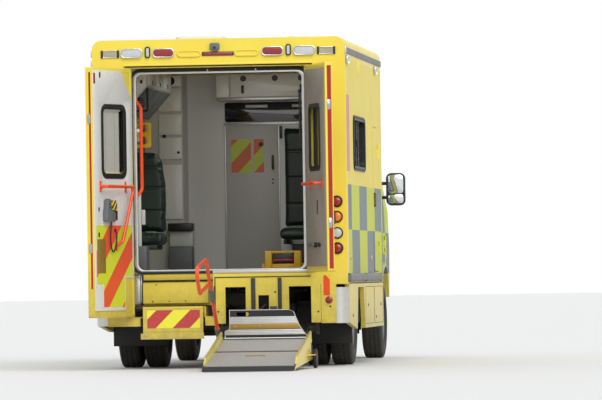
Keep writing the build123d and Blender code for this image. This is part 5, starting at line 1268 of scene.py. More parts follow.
def flap_fittings():
    hole = rounded((0.155, FLAP_FOOT + 0.185), (0.265, FLAP_FOOT + 0.219), 0.0168, 8)
    dark = [plate([flap_strip(0.181, 0.234), hole], "Y", FLAP_FACE - 0.0016, FLAP_FACE - FILM_GAP),
            solid(flap_strip(0.074, 0.079), "Y", FLAP_FACE - 0.0012, FLAP_FACE - FILM_GAP),
            solid(flap_strip(0.003, 0.029), "Y", FLAP_FACE - 0.0016, FLAP_FACE - FILM_GAP)]
    piece("flap_grit", dark, GRIT, "lift_flap")
    piece("flap_ochre_strip", solid(flap_strip(0.078, 0.122), "Y", FLAP_FACE - 0.0030, FLAP_FACE - FILM_GAP,
                                    0.001), OCHRE, "lift_flap")
    ribs = [solid(flap_strip(low, low + 0.006), "Y", FLAP_FACE - 0.004, FLAP_FACE - FILM_GAP, 0.0015)
            for low in (0.036, 0.050, 0.064, 0.130, 0.144, 0.158, 0.172)]
    piece("flap_ribs", ribs, ALUMINIUM, "lift_flap")
    tabs = [disc("Y", (x, FLAP_FACE, FLAP_FOOT + 0.100), 0.006, -0.005, 0.001, 12)
            for x in (0.150, 0.360, 0.570)]
    piece("flap_rivets", tabs, ZINC, "lift_flap")


LIFT_X = (0.040, 0.800)
PLATE_LINE = (station(-0.390), 0.250)
PLATE_SLOPE = math.radians(8.30)
PLATE_INNER, PLATE_OUTER = 0.690, 0.850
RIB_PITCH = 0.032


def on_plate(name, shapes, material):
    """Carry shapes drawn on the level platform, whose inner edge is at Y 0 and top at Z 0."""
    tilt = Matrix.Translation((0, *PLATE_LINE)) @ Matrix.Rotation(PLATE_SLOPE, 4, "X")
    return piece(name, moved(merged(shapes), tilt), material, "lift_platform")


def platform_fittings():
    low, high = LIFT_X[0] + 0.016, LIFT_X[1] - 0.016
    length = PLATE_INNER + PLATE_OUTER
    ribs = []
    for start_y, end_y in ((-0.060, -PLATE_INNER + 0.030), (-PLATE_INNER - 0.030, -length + 0.110)):
        for index in range(int((start_y - end_y) / RIB_PITCH)):
            y = start_y - index * RIB_PITCH
            ribs.append(slab((low, y - 0.012, FILM_GAP), (high, y, 0.0035), 0.0015, 1))
    on_plate("platform_ribs", ribs, ALUMINIUM)
    lip = [(-length + 0.006, -0.0238), (-length + 0.060, 0.0020), (-length + 0.104, 0.0020),
           (-length + 0.104, FILM_GAP), (-length + 0.060, -FILM_GAP), (-length + 0.010, -0.0240)]
    bands = [slab((low, -0.052, FILM_GAP), (high, -0.026, 0.0022)),
             slab((low, -PLATE_INNER - 0.022, FILM_GAP), (high, -PLATE_INNER + 0.022, 0.0022)),
             solid(lip, "X", LIFT_X[0], LIFT_X[1])]
    on_plate("platform_bands", bands, GRIT)
    slot = rounded((0.330, -PLATE_INNER - 0.250), (0.500, -PLATE_INNER - 0.190), 0.020, 5)
    on_plate("platform_hand_slot", [plate([slot], "Z", 0.0004, 0.0046, 0.001)], OCHRE)
    guards = []
    for x_low, x_high in ((LIFT_X[0] - 0.0015, LIFT_X[0] + 0.0135),
                          (LIFT_X[1] - 0.0135, LIFT_X[1] + 0.0015)):
        guards.append(solid([(-length + 0.262, 0.046), (-0.072, 0.060), (-0.044, 0.052), (-0.048, 0.064),
                             (-0.070, 0.0735), (-length + 0.258, 0.0585)], "X", x_low, x_high, 0.001))
    on_plate("platform_guards", guards, PAINT)
    marks = [slab((x - 0.0008, y - 0.16, 0.012), (x + 0.0008, y, 0.044))
             for x in (LIFT_X[0] + 0.0128, LIFT_X[1] - 0.0128) for y in (-0.10, -0.52, -0.94)]
    on_plate("platform_side_film", marks, LIME_FILM)
    caps = [slab((x, -length + 0.110, 0.001), (x + 0.014, -length + 0.150, 0.012), 0.003)
            for x in (LIFT_X[0] - 0.001, LIFT_X[1] - 0.013)]
    on_plate("platform_end_caps", caps, GREY_PLASTIC)


RAIL_FOOT = (-0.285, 0.190)
RAIL_TOP = (-1.240, 0.920)
RAIL_X = 0.014


def rail_point(share):
    """A point on the post of the hand rail."""
    return Vector((RAIL_X, station(RAIL_FOOT[0] + (RAIL_TOP[0] - RAIL_FOOT[0]) * share),
                   RAIL_FOOT[1] + (RAIL_TOP[1] - RAIL_FOOT[1]) * share))


def handrail_fittings():
    sleeve = pipe([rail_point(0.03), rail_point(0.20)], 0.0205, sides=5)
    collar = pipe([rail_point(0.195), rail_point(0.215)], 0.0235, sides=5)
    piece("handrail_sleeve", [sleeve, collar], GREY_PLASTIC, "lift_handrail")
    grip = pipe([rail_point(0.53), rail_point(0.545), rail_point(0.645), rail_point(0.66)], 0.0225, sides=5)
    piece("handrail_grip", grip, GREY_PLASTIC, "lift_handrail")
    bolt = disc("X", (RAIL_X - 0.016, station(RAIL_FOOT[0]), RAIL_FOOT[1]), 0.015, -0.008, 0.002, 6)
    piece("handrail_bolt", bolt, ZINC, "lift_handrail")


flap_fittings()
platform_fittings()
handrail_fittings()


# Inside of the saloon, seen through the open doors

COLUMN_FACE = station(3.120)
LOCKER_FACE = station(3.150)
BULKHEAD_FACE = station(3.510)
CEILING_CABINET = station(0.720)
ON_FLOOR = FLOOR_LEVEL + HAIR


def cupboards():
    """Doors and vent on the column at the left, with the bench and the boxes below."""
    boards = [slab((-0.895, COLUMN_FACE - 0.014, foot), (-0.690, COLUMN_FACE - HAIR, top), 0.003)
              for foot, top in ((2.500, 2.590), (2.270, 2.480), (2.060, 2.245), (1.840, 2.035),
                                (1.300, 1.790))]
    piece("cupboard_doors", boards, GELCOAT)
    black = [disc("Y", (-0.785, COLUMN_FACE - 0.013, 2.545), 0.040, -0.006, 0.002),
             disc("Y", (-0.846, COLUMN_FACE - 0.013, 2.048), 0.016, -0.012, 0.003, 24),
             disc("Y", (-0.720, COLUMN_FACE - 0.013, 1.900), 0.012, -0.010, 0.002, 24),
             slab((-0.810, station(2.960), 1.190), (-0.585, COLUMN_FACE - HAIR, 1.262), 0.010, 3)]
    piece("cupboard_catches", black, CATCH)
    box = slab((-0.800, station(3.010), 1.052), (-0.590, COLUMN_FACE - HAIR, 1.189), 0.006)
    piece("cupboard_box", box, LAMINATE)
    plinth = slab((-0.800, station(2.940), ON_FLOOR), (-0.590, COLUMN_FACE - HAIR, 1.050), 0.008)
    piece("cupboard_plinth", plinth, GREY_PLASTIC)


def seat_locker():
    """Lid, lip, catches and handles of the locker over the attendant's seat."""
    lid = rounded((-0.245, 2.392), (0.428, 2.588), 0.012, 3)
    side = rounded((-0.372, 2.392), (-0.257, 2.588), 0.010, 3)
    piece("seat_locker_lids", [solid(shape, "Y", LOCKER_FACE - 0.012, LOCKER_FACE - HAIR, 0.003)
                               for shape in (lid, side)], GELCOAT)
    black = [disc("Y", (x, LOCKER_FACE - 0.011, 2.556), 0.027, -0.008, 0.003)
             for x in (-0.128, 0.159, 0.396)]
    for x in (-0.133, 0.396):
        black.append(solid(rounded((x - 0.012, 2.420), (x + 0.012, 2.496), 0.0115, 5), "Y",
                           LOCKER_FACE - 0.024, LOCKER_FACE - 0.010, 0.003))
    piece("seat_locker_catches", black, CATCH)
    piece("seat_locker_lip", slab((-0.378, LOCKER_FACE - 0.018, 2.361), (0.438, LOCKER_FACE - HAIR, 2.384),
                                  0.003), ALUMINIUM)


def bulkhead_door():
    """Sliding door in the bulkhead with its film, latch, handle and rail, and the dark window over it."""
    face = BULKHEAD_FACE
    frame_face = [(-0.330, 0.840), (0.140, 0.840), (0.140, 2.145), (-0.330, 2.145)]
    piece("bulkhead_door_panel", solid(frame_face, "Y", face - 0.010, face - HAIR, 0.003), LAMINATE)
    bars = [slab((-0.350, face - 0.016, 2.150), (0.620, face - HAIR, 2.168), 0.002),
            slab((-0.348, face - 0.014, 0.840), (-0.334, face - HAIR, 2.148), 0.002),
            slab((0.144, face - 0.014, 0.840), (0.156, face - HAIR, 2.148), 0.002)]
    piece("bulkhead_door_rails", bars, ALUMINIUM)
    piece("bulkhead_window", solid(rounded((-0.340, 2.175), (0.600, 2.352), 0.020), "Y", face - 0.008,
                                   face - HAIR, 0.002), DARK_PANE)
    plates = [slab((low, face - 0.0105, 2.303), (high, face - 0.0085, 2.329), 0.0005)
              for low, high in ((-0.150, 0.052), (0.274, 0.452))]
    piece("bulkhead_blank_plates", plates, GELCOAT)
    film = [(-0.285, 1.716), (-0.103, 1.716), (-0.103, 2.017), (-0.285, 2.017)]
    film_right = [(-0.080, 1.716), (0.012, 1.716), (0.012, 2.017), (-0.080, 2.017)]
    piece("bulkhead_film", [solid(points, "Y", face - 0.0115, face - 0.0105)
                            for points in (film, film_right)], BULKHEAD_FILM)
    black = [disc("Y", (-0.014, face - 0.011, 1.970), 0.020, -0.010, 0.003, 24),
             solid(rounded((0.084, 1.740), (0.104, 1.872), 0.0095, 5), "Y", face - 0.036, face - 0.010,
                   0.004), slab((0.160, face - 0.030, 2.020), (0.182, face - HAIR, 2.135), 0.004),
             disc("Y", (0.091, face - 0.010, 1.651), 0.008, -0.003, 0.001, 14),
             disc("Y", (0.091, face - 0.010, 1.618), 0.008, -0.003, 0.001, 14)]
    piece("bulkhead_door_latch", black, CATCH)


LID_STATIONS = (0.750, 1.290, 1.830)
LID_LENGTH = 0.52


def left_side_fittings():
    """End of the long cabinet with its grab loop, lids, the yellow board, post and bin."""
    face = CEILING_CABINET
    end = [(-1.020, 2.190), (-0.910, 2.190), (-0.704, 2.425), (-0.704, 2.592), (-1.020, 2.592)]
    piece("cabinet_end", solid(end, "Y", face - 0.012, face - HAIR, 0.003), GELCOAT)
    lids = [slab((-0.6945, station(low), 2.436), (-0.6860, station(low + LID_LENGTH), 2.586), 0.003)
            for low in LID_STATIONS]
    piece("cabinet_lids", lids, GELCOAT)
    slope = [slab((-0.150, station(low), 0), (0.150, station(low + LID_LENGTH), 0.006), 0.002)
             for low in LID_STATIONS]
    turn = Matrix.Rotation(-math.atan2(0.240, 0.210), 4, "Y")
    tilt = Matrix.Translation((-0.7965, 0, 2.293)) @ turn @ Matrix.Translation((0, 0, -0.0065))
    piece("cabinet_underside", [moved(shape, tilt) for shape in slope], GREY_PLASTIC)
    loop = bent([(-0.806, face + 0.030, 2.300), (-0.806, face + 0.030, 2.212),
                 (-0.700, face + 0.030, 2.212), (-0.700, face + 0.030, 2.418)], 0.030)
    louvre = [slab((-0.786, face + 0.024, 2.240 + index * 0.014),
                   (-0.722, face + 0.034, 2.247 + index * 0.014), 0.002, 1) for index in range(6)]
    catches = [slab((x - 0.010, face - 0.018, 2.446), (x + 0.010, face - 0.011, 2.474), 0.002)
               for x in (-0.820, -0.745)]
    catches += [disc("X", (-0.687, station(low + LID_LENGTH / 2), 2.460), 0.020, 0.006, 0.002, 24)
                for low in LID_STATIONS]
    piece("cabinet_grab_loop", [pipe(loop, 0.009)] + louvre + catches, CATCH)
    outline = rounded((-0.900, 1.898), (-0.705, 2.120), 0.024, 4)
    holes = [rounded((-0.862, low), (-0.742, low + 0.062), 0.028, 6) for low in (1.930, 2.034)]
    piece("rescue_board", plate([outline] + holes, "Y", station(1.000), station(1.034), 0.005), LOCK_YELLOW)
    bracket = [slab((-1.024, station(1.036), 1.950), (-0.800, station(1.046), 2.070), 0.003),
               slab((-1.024, station(1.036), 1.930), (-1.016, station(1.120), 2.090), 0.003)]
    piece("rescue_board_bracket", bracket, ZINC)
    post = [slab((-0.862, station(1.060), ON_FLOOR), (-0.808, station(1.090), 1.510), 0.005),
            slab((-1.024, station(1.066), 1.440), (-0.860, station(1.084), 1.490), 0.003),
            slab((-0.806, station(1.050), 1.235), (-0.772, station(1.080), 1.365), 0.006)]
    piece("wall_post", post, GELCOAT)
    bin_walls = [ring(rounded((-0.880, station(0.860)), (-0.738, station(1.040)), 0.016, 4),
                      rounded((-0.874, station(0.866)), (-0.744, station(1.034)), 0.011, 4), "Z", 0.830,
                      1.050, 0.002), slab((-0.874, station(0.866), 0.8265),
                                          (-0.744, station(1.034), 0.8320))]
    piece("waste_bin", bin_walls, GREY_PLASTIC)
    floor_lines = [slab((x, station(0.300), FLOOR_LEVEL), (x + 0.004, station(3.480), FLOOR_LEVEL + 0.0012))
                   for x in (-0.520, 0.080, 0.640)]
    piece("floor_joints", floor_lines, GREY_PLASTIC)


def stretcher_lock():
    """Yellow towers, black latch and red bar at the rear end of the stretcher rails."""
    yellow = [slab((low, station(1.325), ON_FLOOR), (high, station(1.398), 0.990), 0.010, 3)
              for low, high in ((0.232, 0.296), (0.486, 0.548))]
    yellow.append(slab((0.290, station(1.345), ON_FLOOR), (0.492, station(1.396), 0.880), 0.006))
    yellow.append(slab((0.232, station(1.335), 0.972), (0.548, station(1.365), 0.992), 0.005))
    piece("lock_towers", yellow, LOCK_YELLOW)
    piece("lock_latch", slab((0.300, station(1.350), 0.882), (0.482, station(1.392), 0.968), 0.006), CATCH)
    piece("lock_release_bar", slab((0.302, station(1.336), 0.900), (0.480, station(1.349), 0.922), 0.003),
          RED_TAPE)


cupboards()
seat_locker()
bulkhead_door()
left_side_fittings()
stretcher_lock()


# Sides of the body

WINDOW_STATIONS = (0.700, 1.780)
WINDOW_HEIGHTS = (1.690, 2.120)


def side_fittings():
    inner = rounded((station(WINDOW_STATIONS[0]), WINDOW_HEIGHTS[0]),
                    (station(WINDOW_STATIONS[1]), WINDOW_HEIGHTS[1]), 0.055, 6)
    lip = rounded((station(WINDOW_STATIONS[0] - 0.012), WINDOW_HEIGHTS[0] - 0.012),
                  (station(WINDOW_STATIONS[1] + 0.012), WINDOW_HEIGHTS[1] + 0.012), 0.066, 6)
    beads = both(lambda: ring(lip, inner, "X", BODY_HALF + 0.0085, BODY_HALF + 0.0125, 0.0015))
    bars = both(lambda: slab((BODY_HALF - 0.0185, station(1.228), WINDOW_HEIGHTS[0] + 0.004),
                             (BODY_HALF - 0.006, station(1.254), WINDOW_HEIGHTS[1] - 0.004), 0.002))
    catches = both(lambda: slab((BODY_HALF - 0.018, station(1.262), 1.880),
                                (BODY_HALF - 0.008, station(1.286), 1.940), 0.003))
    piece("side_window_beads", beads + bars + catches, RUBBER)
    strip = [slab((BODY_HALF + 0.0004, station(0.080), 1.655), (BODY_HALF + 0.0014, station(0.330), 2.300)),
             slab((-BODY_HALF - 0.0014, station(0.080), 1.655),
                  (-BODY_HALF - 0.0004, station(0.330), 2.300))]
    piece("side_blank_strips", strip, SIGN_RED)
    domes, cups = [], []
    for place in (0.300, 2.300):
        domes += both(lambda: turned([(0, 0.019), (0.006, 0.019), (0.011, 0.013), (0.013, 0)], "X",
                                     (BODY_HALF + 0.0005, station(place), 0.925), 28))
        cups += both(lambda: turned([(0, 0.020), (0, 0.026), (0.005, 0.026), (0.007, 0.020)], "X",
                                    (BODY_HALF + 0.0005, station(place), 0.925), 28, closed=True))
    piece("side_marker_lenses", domes, AMBER_LENS)
    piece("side_marker_cups", cups, CHROME)
    clamps = []
    for place in (0.006, 1.600, 3.180):
        section = [(BODY_HALF, 0.715), (BODY_HALF + 0.020, 0.716), (BODY_HALF + 0.0262, 0.735),
                   (BODY_HALF + 0.0262, 0.769), (BODY_HALF + 0.020, 0.788), (BODY_HALF, 0.789)]
        clamps += both(lambda: solid(section, "Y", station(place), station(place + 0.014), 0.001))
    grooves = both(lambda: slab((BODY_HALF - 0.001, station(0.110), 0.7005),
                                (BODY_HALF + 0.002, station(3.520), 0.709)))
    piece("rub_rail_joints", clamps + grooves, RUBBER)
    locks = []
    for place, height in ((0.420, 0.430), (1.950, 0.510), (2.750, 0.400), (3.250, 0.510)):
        locks += both(lambda: disc("X", (BODY_HALF + 0.0003, station(place), height), 0.013, 0.004, 0.001,
                                   20))
    for low, high in ((1.700, 2.560), (2.600, 3.480)):
        outer = rounded((station(low), 0.345), (station(high), 0.672), 0.020, 4)
        inner_line = rounded((station(low) + 0.004, 0.349), (station(high) - 0.004, 0.668), 0.016, 4)
        locks += both(lambda: ring(outer, inner_line, "X", BODY_HALF + 0.0003, BODY_HALF + 0.0012))
    piece("skirt_locks", locks, RUBBER)
    caps = both(lambda: solid([(BODY_HALF, 2.640), (BODY_HALF + 0.011, 2.648), (BODY_HALF + 0.011, 2.704),
                               (BODY_HALF, 2.710)], "Y", station(0.004), station(0.060), 0.002))
    piece("cant_strip_ends", caps, ALUMINIUM)


def side_leaf_fittings():
    """Handles, window frame and dark pane of the side door, and the handle of the outside locker."""
    locker = slab((BODY_HALF + 0.0035, station(2.648), 1.377), (BODY_HALF + 0.0215, station(2.714), 1.503),
                  0.010, 3)
    piece("locker_handle", locker, PLASTIC, "locker_door")
    x = -BODY_HALF
    door = slab((x - 0.0252, station(2.523), 1.287), (x - 0.0005, station(2.599), 1.433), 0.010, 3)
    piece("side_door_handle", door, PLASTIC, "side_door")
    outer = rounded((station(2.604), 1.676), (station(3.194), 2.134), 0.074, 6)
    inner = rounded((station(2.634), 1.706), (station(3.164), 2.104), 0.046, 6)
    piece("side_door_window_frame", ring(outer, inner, "X", x - 0.006, x - 0.0004, 0.002), PLASTIC,
          "side_door")
    edge = rounded((station(2.618), 1.691), (station(3.181), 2.119), 0.058, 6)
    piece("side_door_pane", solid(edge, "X", x + 0.0135, x + 0.0225), DARK_PANE, "side_door")


side_fittings()
side_leaf_fittings()


# The cab: lamps, grille, mirrors, wipers and handles

GLASS_STEEPNESS = 1.101  # rise of the windscreen for each metre back


def on_glass(x, z, out):
    """A point off the outside of the windscreen."""
    return (x, station(5.270 - (z - 1.430) / GLASS_STEEPNESS) + out * 0.740, z + out * 0.672)


def cab_fittings():
    lenses = []
    for low, high in ((-0.600, -0.330), (0.330, 0.600)):
        lenses.append(slab((low, station(3.640), 2.776), (high, station(3.7035), 2.8325), 0.006, 3))
    piece("light_bar_lenses", lenses, BLUE_LENS)
    piece("light_bar_centre", slab((-0.310, station(3.640), 2.776), (0.310, station(3.7035), 2.8325), 0.006,
                                   3), WHITE_LENS)
    repeaters = both(lambda: solid(rounded((0.300, 0.875), (0.440, 0.925), 0.012), "Y", station(5.8505),
                                   station(5.866), 0.004))
    piece("grille_blue_repeaters", repeaters, BLUE_LENS)
    wipers = []
    for start_x, tip_x in ((0.080, 0.640), (-0.640, -0.060)):
        pivot = start_x + 0.300
        arm = [on_glass(pivot + 0.150, 1.470, 0.020), on_glass(pivot + 0.080, 1.520, 0.030),
               on_glass(pivot - 0.020, 1.590, 0.022)]
        blade = [on_glass(start_x, 1.540, 0.013), on_glass((start_x + tip_x) / 2, 1.592, 0.015),
                 on_glass(tip_x, 1.640, 0.013)]
        wipers += [pipe(arm, 0.007), pipe(blade, 0.006)]
        wipers.append(disc("Z", (pivot + 0.150, on_glass(0, 1.462, 0.016)[1], 1.452), 0.020, 0.026, 0.004,
                           24))
    piece("wipers", wipers, RUBBER)
    fogs = both(lambda: turned([(-0.030, 0.046), (0.0, 0.046), (0.006, 0.038), (0.009, 0)], "Y",
                               (0.640, station(5.842), 0.520), 36))
    piece("fog_lamps", fogs, WHITE_LENS)
    rims = both(lambda: turned([(-0.030, 0.047), (0.004, 0.047), (0.006, 0.056), (-0.004, 0.060),
                                (-0.030, 0.060)], "Y", (0.640, station(5.842), 0.520), 36, closed=True))
    piece("fog_lamp_rims", rims, PLASTIC)
    plate_face = rounded((-0.258, 0.446), (0.258, 0.554), 0.008, 3)
    piece("front_plate_blank", solid(plate_face, "Y", station(5.862), station(5.868), 0.001), GELCOAT)
    bars = [slab((-0.478, station(5.835), height), (0.478, station(5.858), height + 0.012), 0.003)
            for height in (0.440, 0.556)]
    piece("lower_grille_bars", bars, PLASTIC)
    # Fine fins of the radiator, close behind both openings
    core = [slab((-0.495, station(5.786), 0.812), (0.495, station(5.791), 1.048)),
            slab((-0.485, station(5.806), 0.425), (0.485, station(5.811), 0.575))]
    core += [slab((index * 0.022 - 0.003, station(front), low),
                  (index * 0.022 + 0.003, station(front + 0.004), high))
             for front, low, high in ((5.790, 0.814, 1.046), (5.810, 0.427, 0.573))
             for index in range(-21, 22)]
    piece("radiator_core", core, CHASSIS)


def cab_side_fittings(side, word):
    body = f"cab_door_{word}"
    low, high = sorted((side * 1.036, side * 1.180))
    face = station(4.690)
    piece(f"mirror_glass_{word}", solid(rounded((low, 1.520), (high, 1.694), 0.032, 6), "Y", face - 0.0025,
                                        face - 0.0003, 0.001), MIRROR_GLASS, body)
    piece(f"mirror_glass_low_{word}", solid(rounded((low, 1.430), (high, 1.510), 0.024, 6), "Y",
                                            face - 0.0025, face - 0.0003, 0.001), MIRROR_GLASS, body)
    inner, outer = sorted((side * 0.978, side * 1.008))
    handle = slab((inner, station(3.870), 1.205), (outer, station(4.010), 1.243), 0.010, 3)
    piece(f"cab_door_handle_{word}", handle, PLASTIC, body)
    rub_in, rub_out = sorted((side * 0.985, side * 1.0015))
    piece(f"cab_door_moulding_{word}", slab((rub_in, station(3.860), 0.880),
                                            (rub_out, station(4.700), 0.960), 0.006), GREY_PLASTIC, body)


cab_fittings()
for cab_side, side_word in ((-1, "left"), (1, "right")):
    cab_side_fittings(cab_side, side_word)


# Padded seats: each pad swells from a slightly smaller form

PAD_VOXEL = 0.006
PAD_SHRINK = 0.010
PAD_CAP = 0.014
PAD_FRAMES = 20
CAB_SEAT_X = 0.520


def settled(made):
    """Apply what the modifiers have done, and give the points."""
    graph = bpy.context.evaluated_depsgraph_get()
    mesh = bpy.data.meshes.new_from_object(made.evaluated_get(graph))
    made.modifiers.clear()
    made.data = mesh
    return [vert.co.copy() for vert in mesh.vertices]


def pad(shape):
    """The swollen form of a pad."""
    mesh = bpy.data.meshes.new("pad")
    shape.to_mesh(mesh)
    shape.free()
    made = bpy.data.objects.new("pad", mesh)
    bpy.context.scene.collection.objects.link(made)
    remesh = made.modifiers.new("even", "REMESH")
    remesh.mode = "VOXEL"
    remesh.voxel_size = PAD_VOXEL
    start_points = settled(made)
    cloth = made.modifiers.new("fill", "CLOTH")
    cloth.settings.use_pressure = True
    cloth.settings.uniform_pressure_force = 4.0
    cloth.settings.effector_weights.gravity = 0.0
    cloth.settings.quality = 4
    cloth.collision_settings.use_collision = False
    for step in range(1, PAD_FRAMES + 1):
        bpy.context.scene.frame_set(step)
    settled(made)
    bpy.context.scene.frame_set(1)
    for vert, begun in zip(made.data.vertices, start_points):
        travel = vert.co - begun
        if travel.length > PAD_CAP:
            vert.co = begun + travel.normalized() * PAD_CAP
    result = bmesh.new()
    result.from_mesh(made.data)
    bmesh.ops.smooth_vert(result, verts=result.verts, factor=0.5, use_axis_x=True, use_axis_y=True,
                          use_axis_z=True)
    bpy.data.objects.remove(made)
    return result


def channel(shape, axis_index, places, width, depth, centre, towards):
    """Press sewn channels into a pad: at each place along an axis the skin is drawn in."""
    for vert in shape.verts:
        for place in places:
            gap = abs(vert.co[axis_index] - place)
            if gap < width:
                inward = centre - vert.co[towards]
                vert.co[towards] += math.copysign(depth * (1 - (gap / width) ** 2), inward)
    return shape


def seat_form(points, axis, low, high):
    """The form that a pad swells from."""
    return solid(points, axis, low + PAD_SHRINK, high - PAD_SHRINK, 0.030, 4)


def pads(name, shapes, node, material):
    """Pads as one piece, in the place of the plain seats."""
    made = piece(name, shapes, material, smooth=60)
    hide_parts(node)


def saloon_pads():
    """The folding seat on the left wall and the attendant's seat at the bulkhead."""
    side = [
        pad(seat_form([(-1.000, 1.070), (-0.660, 1.070), (-0.642, 1.110), (-0.655, 1.152),
                       (-1.000, 1.156)], "Y", station(1.262), station(1.700))),
        pad(seat_form([(-0.960, 1.172), (-0.665, 1.165), (-0.652, 1.420), (-0.655, 1.600), (-0.690, 1.800),
                       (-0.740, 1.874), (-0.960, 1.878)], "Y", station(1.618), station(1.732))),
    ]
    side[1] = channel(side[1], 2, (1.36, 1.56, 1.74), 0.016, 0.008, station(1.675), 1)
    back = pad(seat_form([(station(3.418), 1.215), (station(3.490), 1.215), (station(3.498), 2.110),
                          (station(3.455), 2.128), (station(3.425), 2.060)], "X", 0.186, 0.584))
    back = channel(back, 2, (1.42, 1.66, 1.90), 0.018, 0.008, station(3.460), 1)
    cushion = pad(seat_form([(station(2.970), 1.112), (station(3.395), 1.112), (station(3.395), 1.185),
                             (station(3.010), 1.192), (station(2.965), 1.160)], "X", 0.182, 0.588))
    pads("saloon_seat_pads", side + [back, cushion], "saloon_seats", GREEN_VINYL)
    frames = [slab((-1.024, station(1.300), 1.020), (-0.700, station(1.330), 1.060), 0.004),
              slab((-1.024, station(1.630), 1.020), (-0.700, station(1.660), 1.060), 0.004),
              slab((-1.024, station(1.640), 1.060), (-0.970, station(1.720), 1.860), 0.006),
              slab((0.230, station(3.000), 1.060), (0.260, station(3.500), 1.098), 0.004),
              slab((0.510, station(3.000), 1.060), (0.540, station(3.500), 1.098), 0.004),
              slab((0.300, station(3.060), ON_FLOOR), (0.470, station(3.460), 1.058), 0.012)]
    piece("saloon_seat_frames", frames, CHASSIS)


def cab_pads():
    """Cushion, back and head pad of the two cab seats."""
    shapes = []
    for x in (-CAB_SEAT_X, CAB_SEAT_X):
        cushion = pad(seat_form([(station(4.050), 1.108), (station(4.525), 1.108), (station(4.528), 1.200),
                                 (station(4.470), 1.214), (station(4.060), 1.196)], "X", x - 0.245,
                                x + 0.245))
        back = pad(seat_form([(station(3.992), 1.200), (station(4.105), 1.212), (station(3.985), 1.715),
                              (station(3.890), 1.700)], "X", x - 0.235, x + 0.235))
        head = pad(seat_form([(station(3.868), 1.735), (station(3.965), 1.745), (station(3.950), 1.880),
                              (station(3.866), 1.872)], "X", x - 0.130, x + 0.130))
        shapes += [channel(cushion, 0, (x - 0.130, x + 0.130), 0.016, 0.007, 1.150, 2),
                   channel(back, 0, (x - 0.130, x + 0.130), 0.016, 0.007, station(4.000), 1), head]
    pads("cab_seat_pads", shapes, "cab_seats", BLACK_VINYL)
    bases = []
    for x in (-CAB_SEAT_X, CAB_SEAT_X):
        bases.append(slab((x - 0.200, station(4.090), 0.802), (x + 0.200, station(4.470), 1.098), 0.012))
        for offset in (-0.050, 0.050):
            bases.append(pipe([(x + offset, station(3.925), 1.700), (x + offset, station(3.915), 1.760)],
                              0.006))
    piece("cab_seat_bases", bases, CHASSIS)


saloon_pads()
cab_pads()


# Cables at the rear doors, the lead of the hand control, and the films and flaps seen from behind

LEAD_WIDTH = 0.012


def smooth_line(corners, steps=10):
    """Points along a smooth line that passes through the corners."""
    points = []
    ends = [corners[0]] + list(corners) + [corners[-1]]
    for before, first, second, after in zip(ends, ends[1:], ends[2:], ends[3:]):
        for step in range(steps):
            t = step / steps
            points.append(Vector([
                0.5 * (2 * b + (c - a) * t + (2 * a - 5 * b + 4 * c - d) * t * t
                       + (3 * b - a - 3 * c + d) * t ** 3)
                for a, b, c, d in zip(before, first, second, after)]))
    return points + [Vector(corners[-1])]


def pendant_lead():
    """The lead leaves the case, hangs in a loop and goes into the door."""
    side = -1
    face = BOARD_FACE
    corners = [(-0.352, face + 0.018, 1.252), (-0.340, face + 0.020, 1.190), (-0.330, face + 0.020, 1.110),
               (-0.345, face + 0.020, 1.030), (-0.378, face + 0.020, 0.998), (-0.414, face + 0.020, 1.030),
               (-0.432, face + 0.022, 1.095), (-0.440, face + 0.020, 1.150), (-0.444, face + 0.004, 1.176)]
    line = [door_place(side) @ point for point in smooth_line(corners)]
    made = piece("rear_door_left_lead", pipe(line, LEAD_WIDTH / 2, sides=3, smooth=1), RUBBER,
                 DOOR_BODY[side])
    gland = disc("Y", (-0.444, face, 1.180), 0.013, 0.010, 0.002, 20)
    on_door("lead_gland", side, [gland], PLASTIC)


def door_looms():
    """Box and short cable that carry the wiring from the left jamb to its door."""
    box = slab((-0.792, station(0.072), 2.320), (-0.768, station(0.108), 2.455), 0.004)
    line = [(-0.780, station(0.090), 2.322), (-0.778, station(0.090), 2.190),
            (-0.762, station(0.094), 2.140), (-0.742, station(0.100), 2.170),
            (-0.736, station(0.108), 2.250)]
    piece("left_jamb_loom", [box, pipe(line, 0.0065)], RUBBER)


def door_outside():
    """Chevrons on the outer faces, sloping down from the middle to each side."""
    for side, film in ((-1, OUTER_CHEVRONS_LEFT), (1, OUTER_CHEVRONS_RIGHT)):
        foot, window = DOORS[side][1], DOORS[side][2]
        low, high = door_span(side)
        edge = rounded((low + 0.016, foot + 0.016), (high - 0.016, DOOR_TOP - 0.016), 0.012, 3)
        hole = rounded((window[0] - 0.026, WINDOW_Z[0] - 0.026), (window[1] + 0.026, WINDOW_Z[1] + 0.026),
                       0.080, 7)
        on_door("outer_film", side, [plate([edge, hole], "Y", REAR - 0.0009, REAR - FILM_GAP)], film,
                "orange_tube")
    low = door_span(1)[0]
    handle = [slab((low + 0.040, REAR - 0.012, 1.180), (low + 0.100, REAR - 0.0009, 1.330), 0.008, 3),
              slab((low + 0.052, REAR - 0.026, 1.200), (low + 0.088, REAR - 0.011, 1.310), 0.006, 3)]
    on_door("outer_handle", 1, handle, PLASTIC)


def mud_flaps():
    flaps = both(lambda: slab((0.560, station(0.806), 0.190), (1.030, station(0.814), 0.560), 0.003))
    stiffeners = both(lambda: slab((0.560, station(0.800), 0.535), (1.030, station(0.806), 0.560), 0.002))
    piece("mud_flaps", flaps + stiffeners, RUBBER)


pendant_lead()
door_looms()
door_outside()
mud_flaps()


# The camera stands where the photograph was taken from

CAMERA_PLACE = (5.356, REAR - 47.69, 0.780)
CAMERA_TURN = 0.0976
CAMERA_PITCH = 0.0132
CAMERA_ROLL = -0.0154
CAMERA_LENS = 339.6


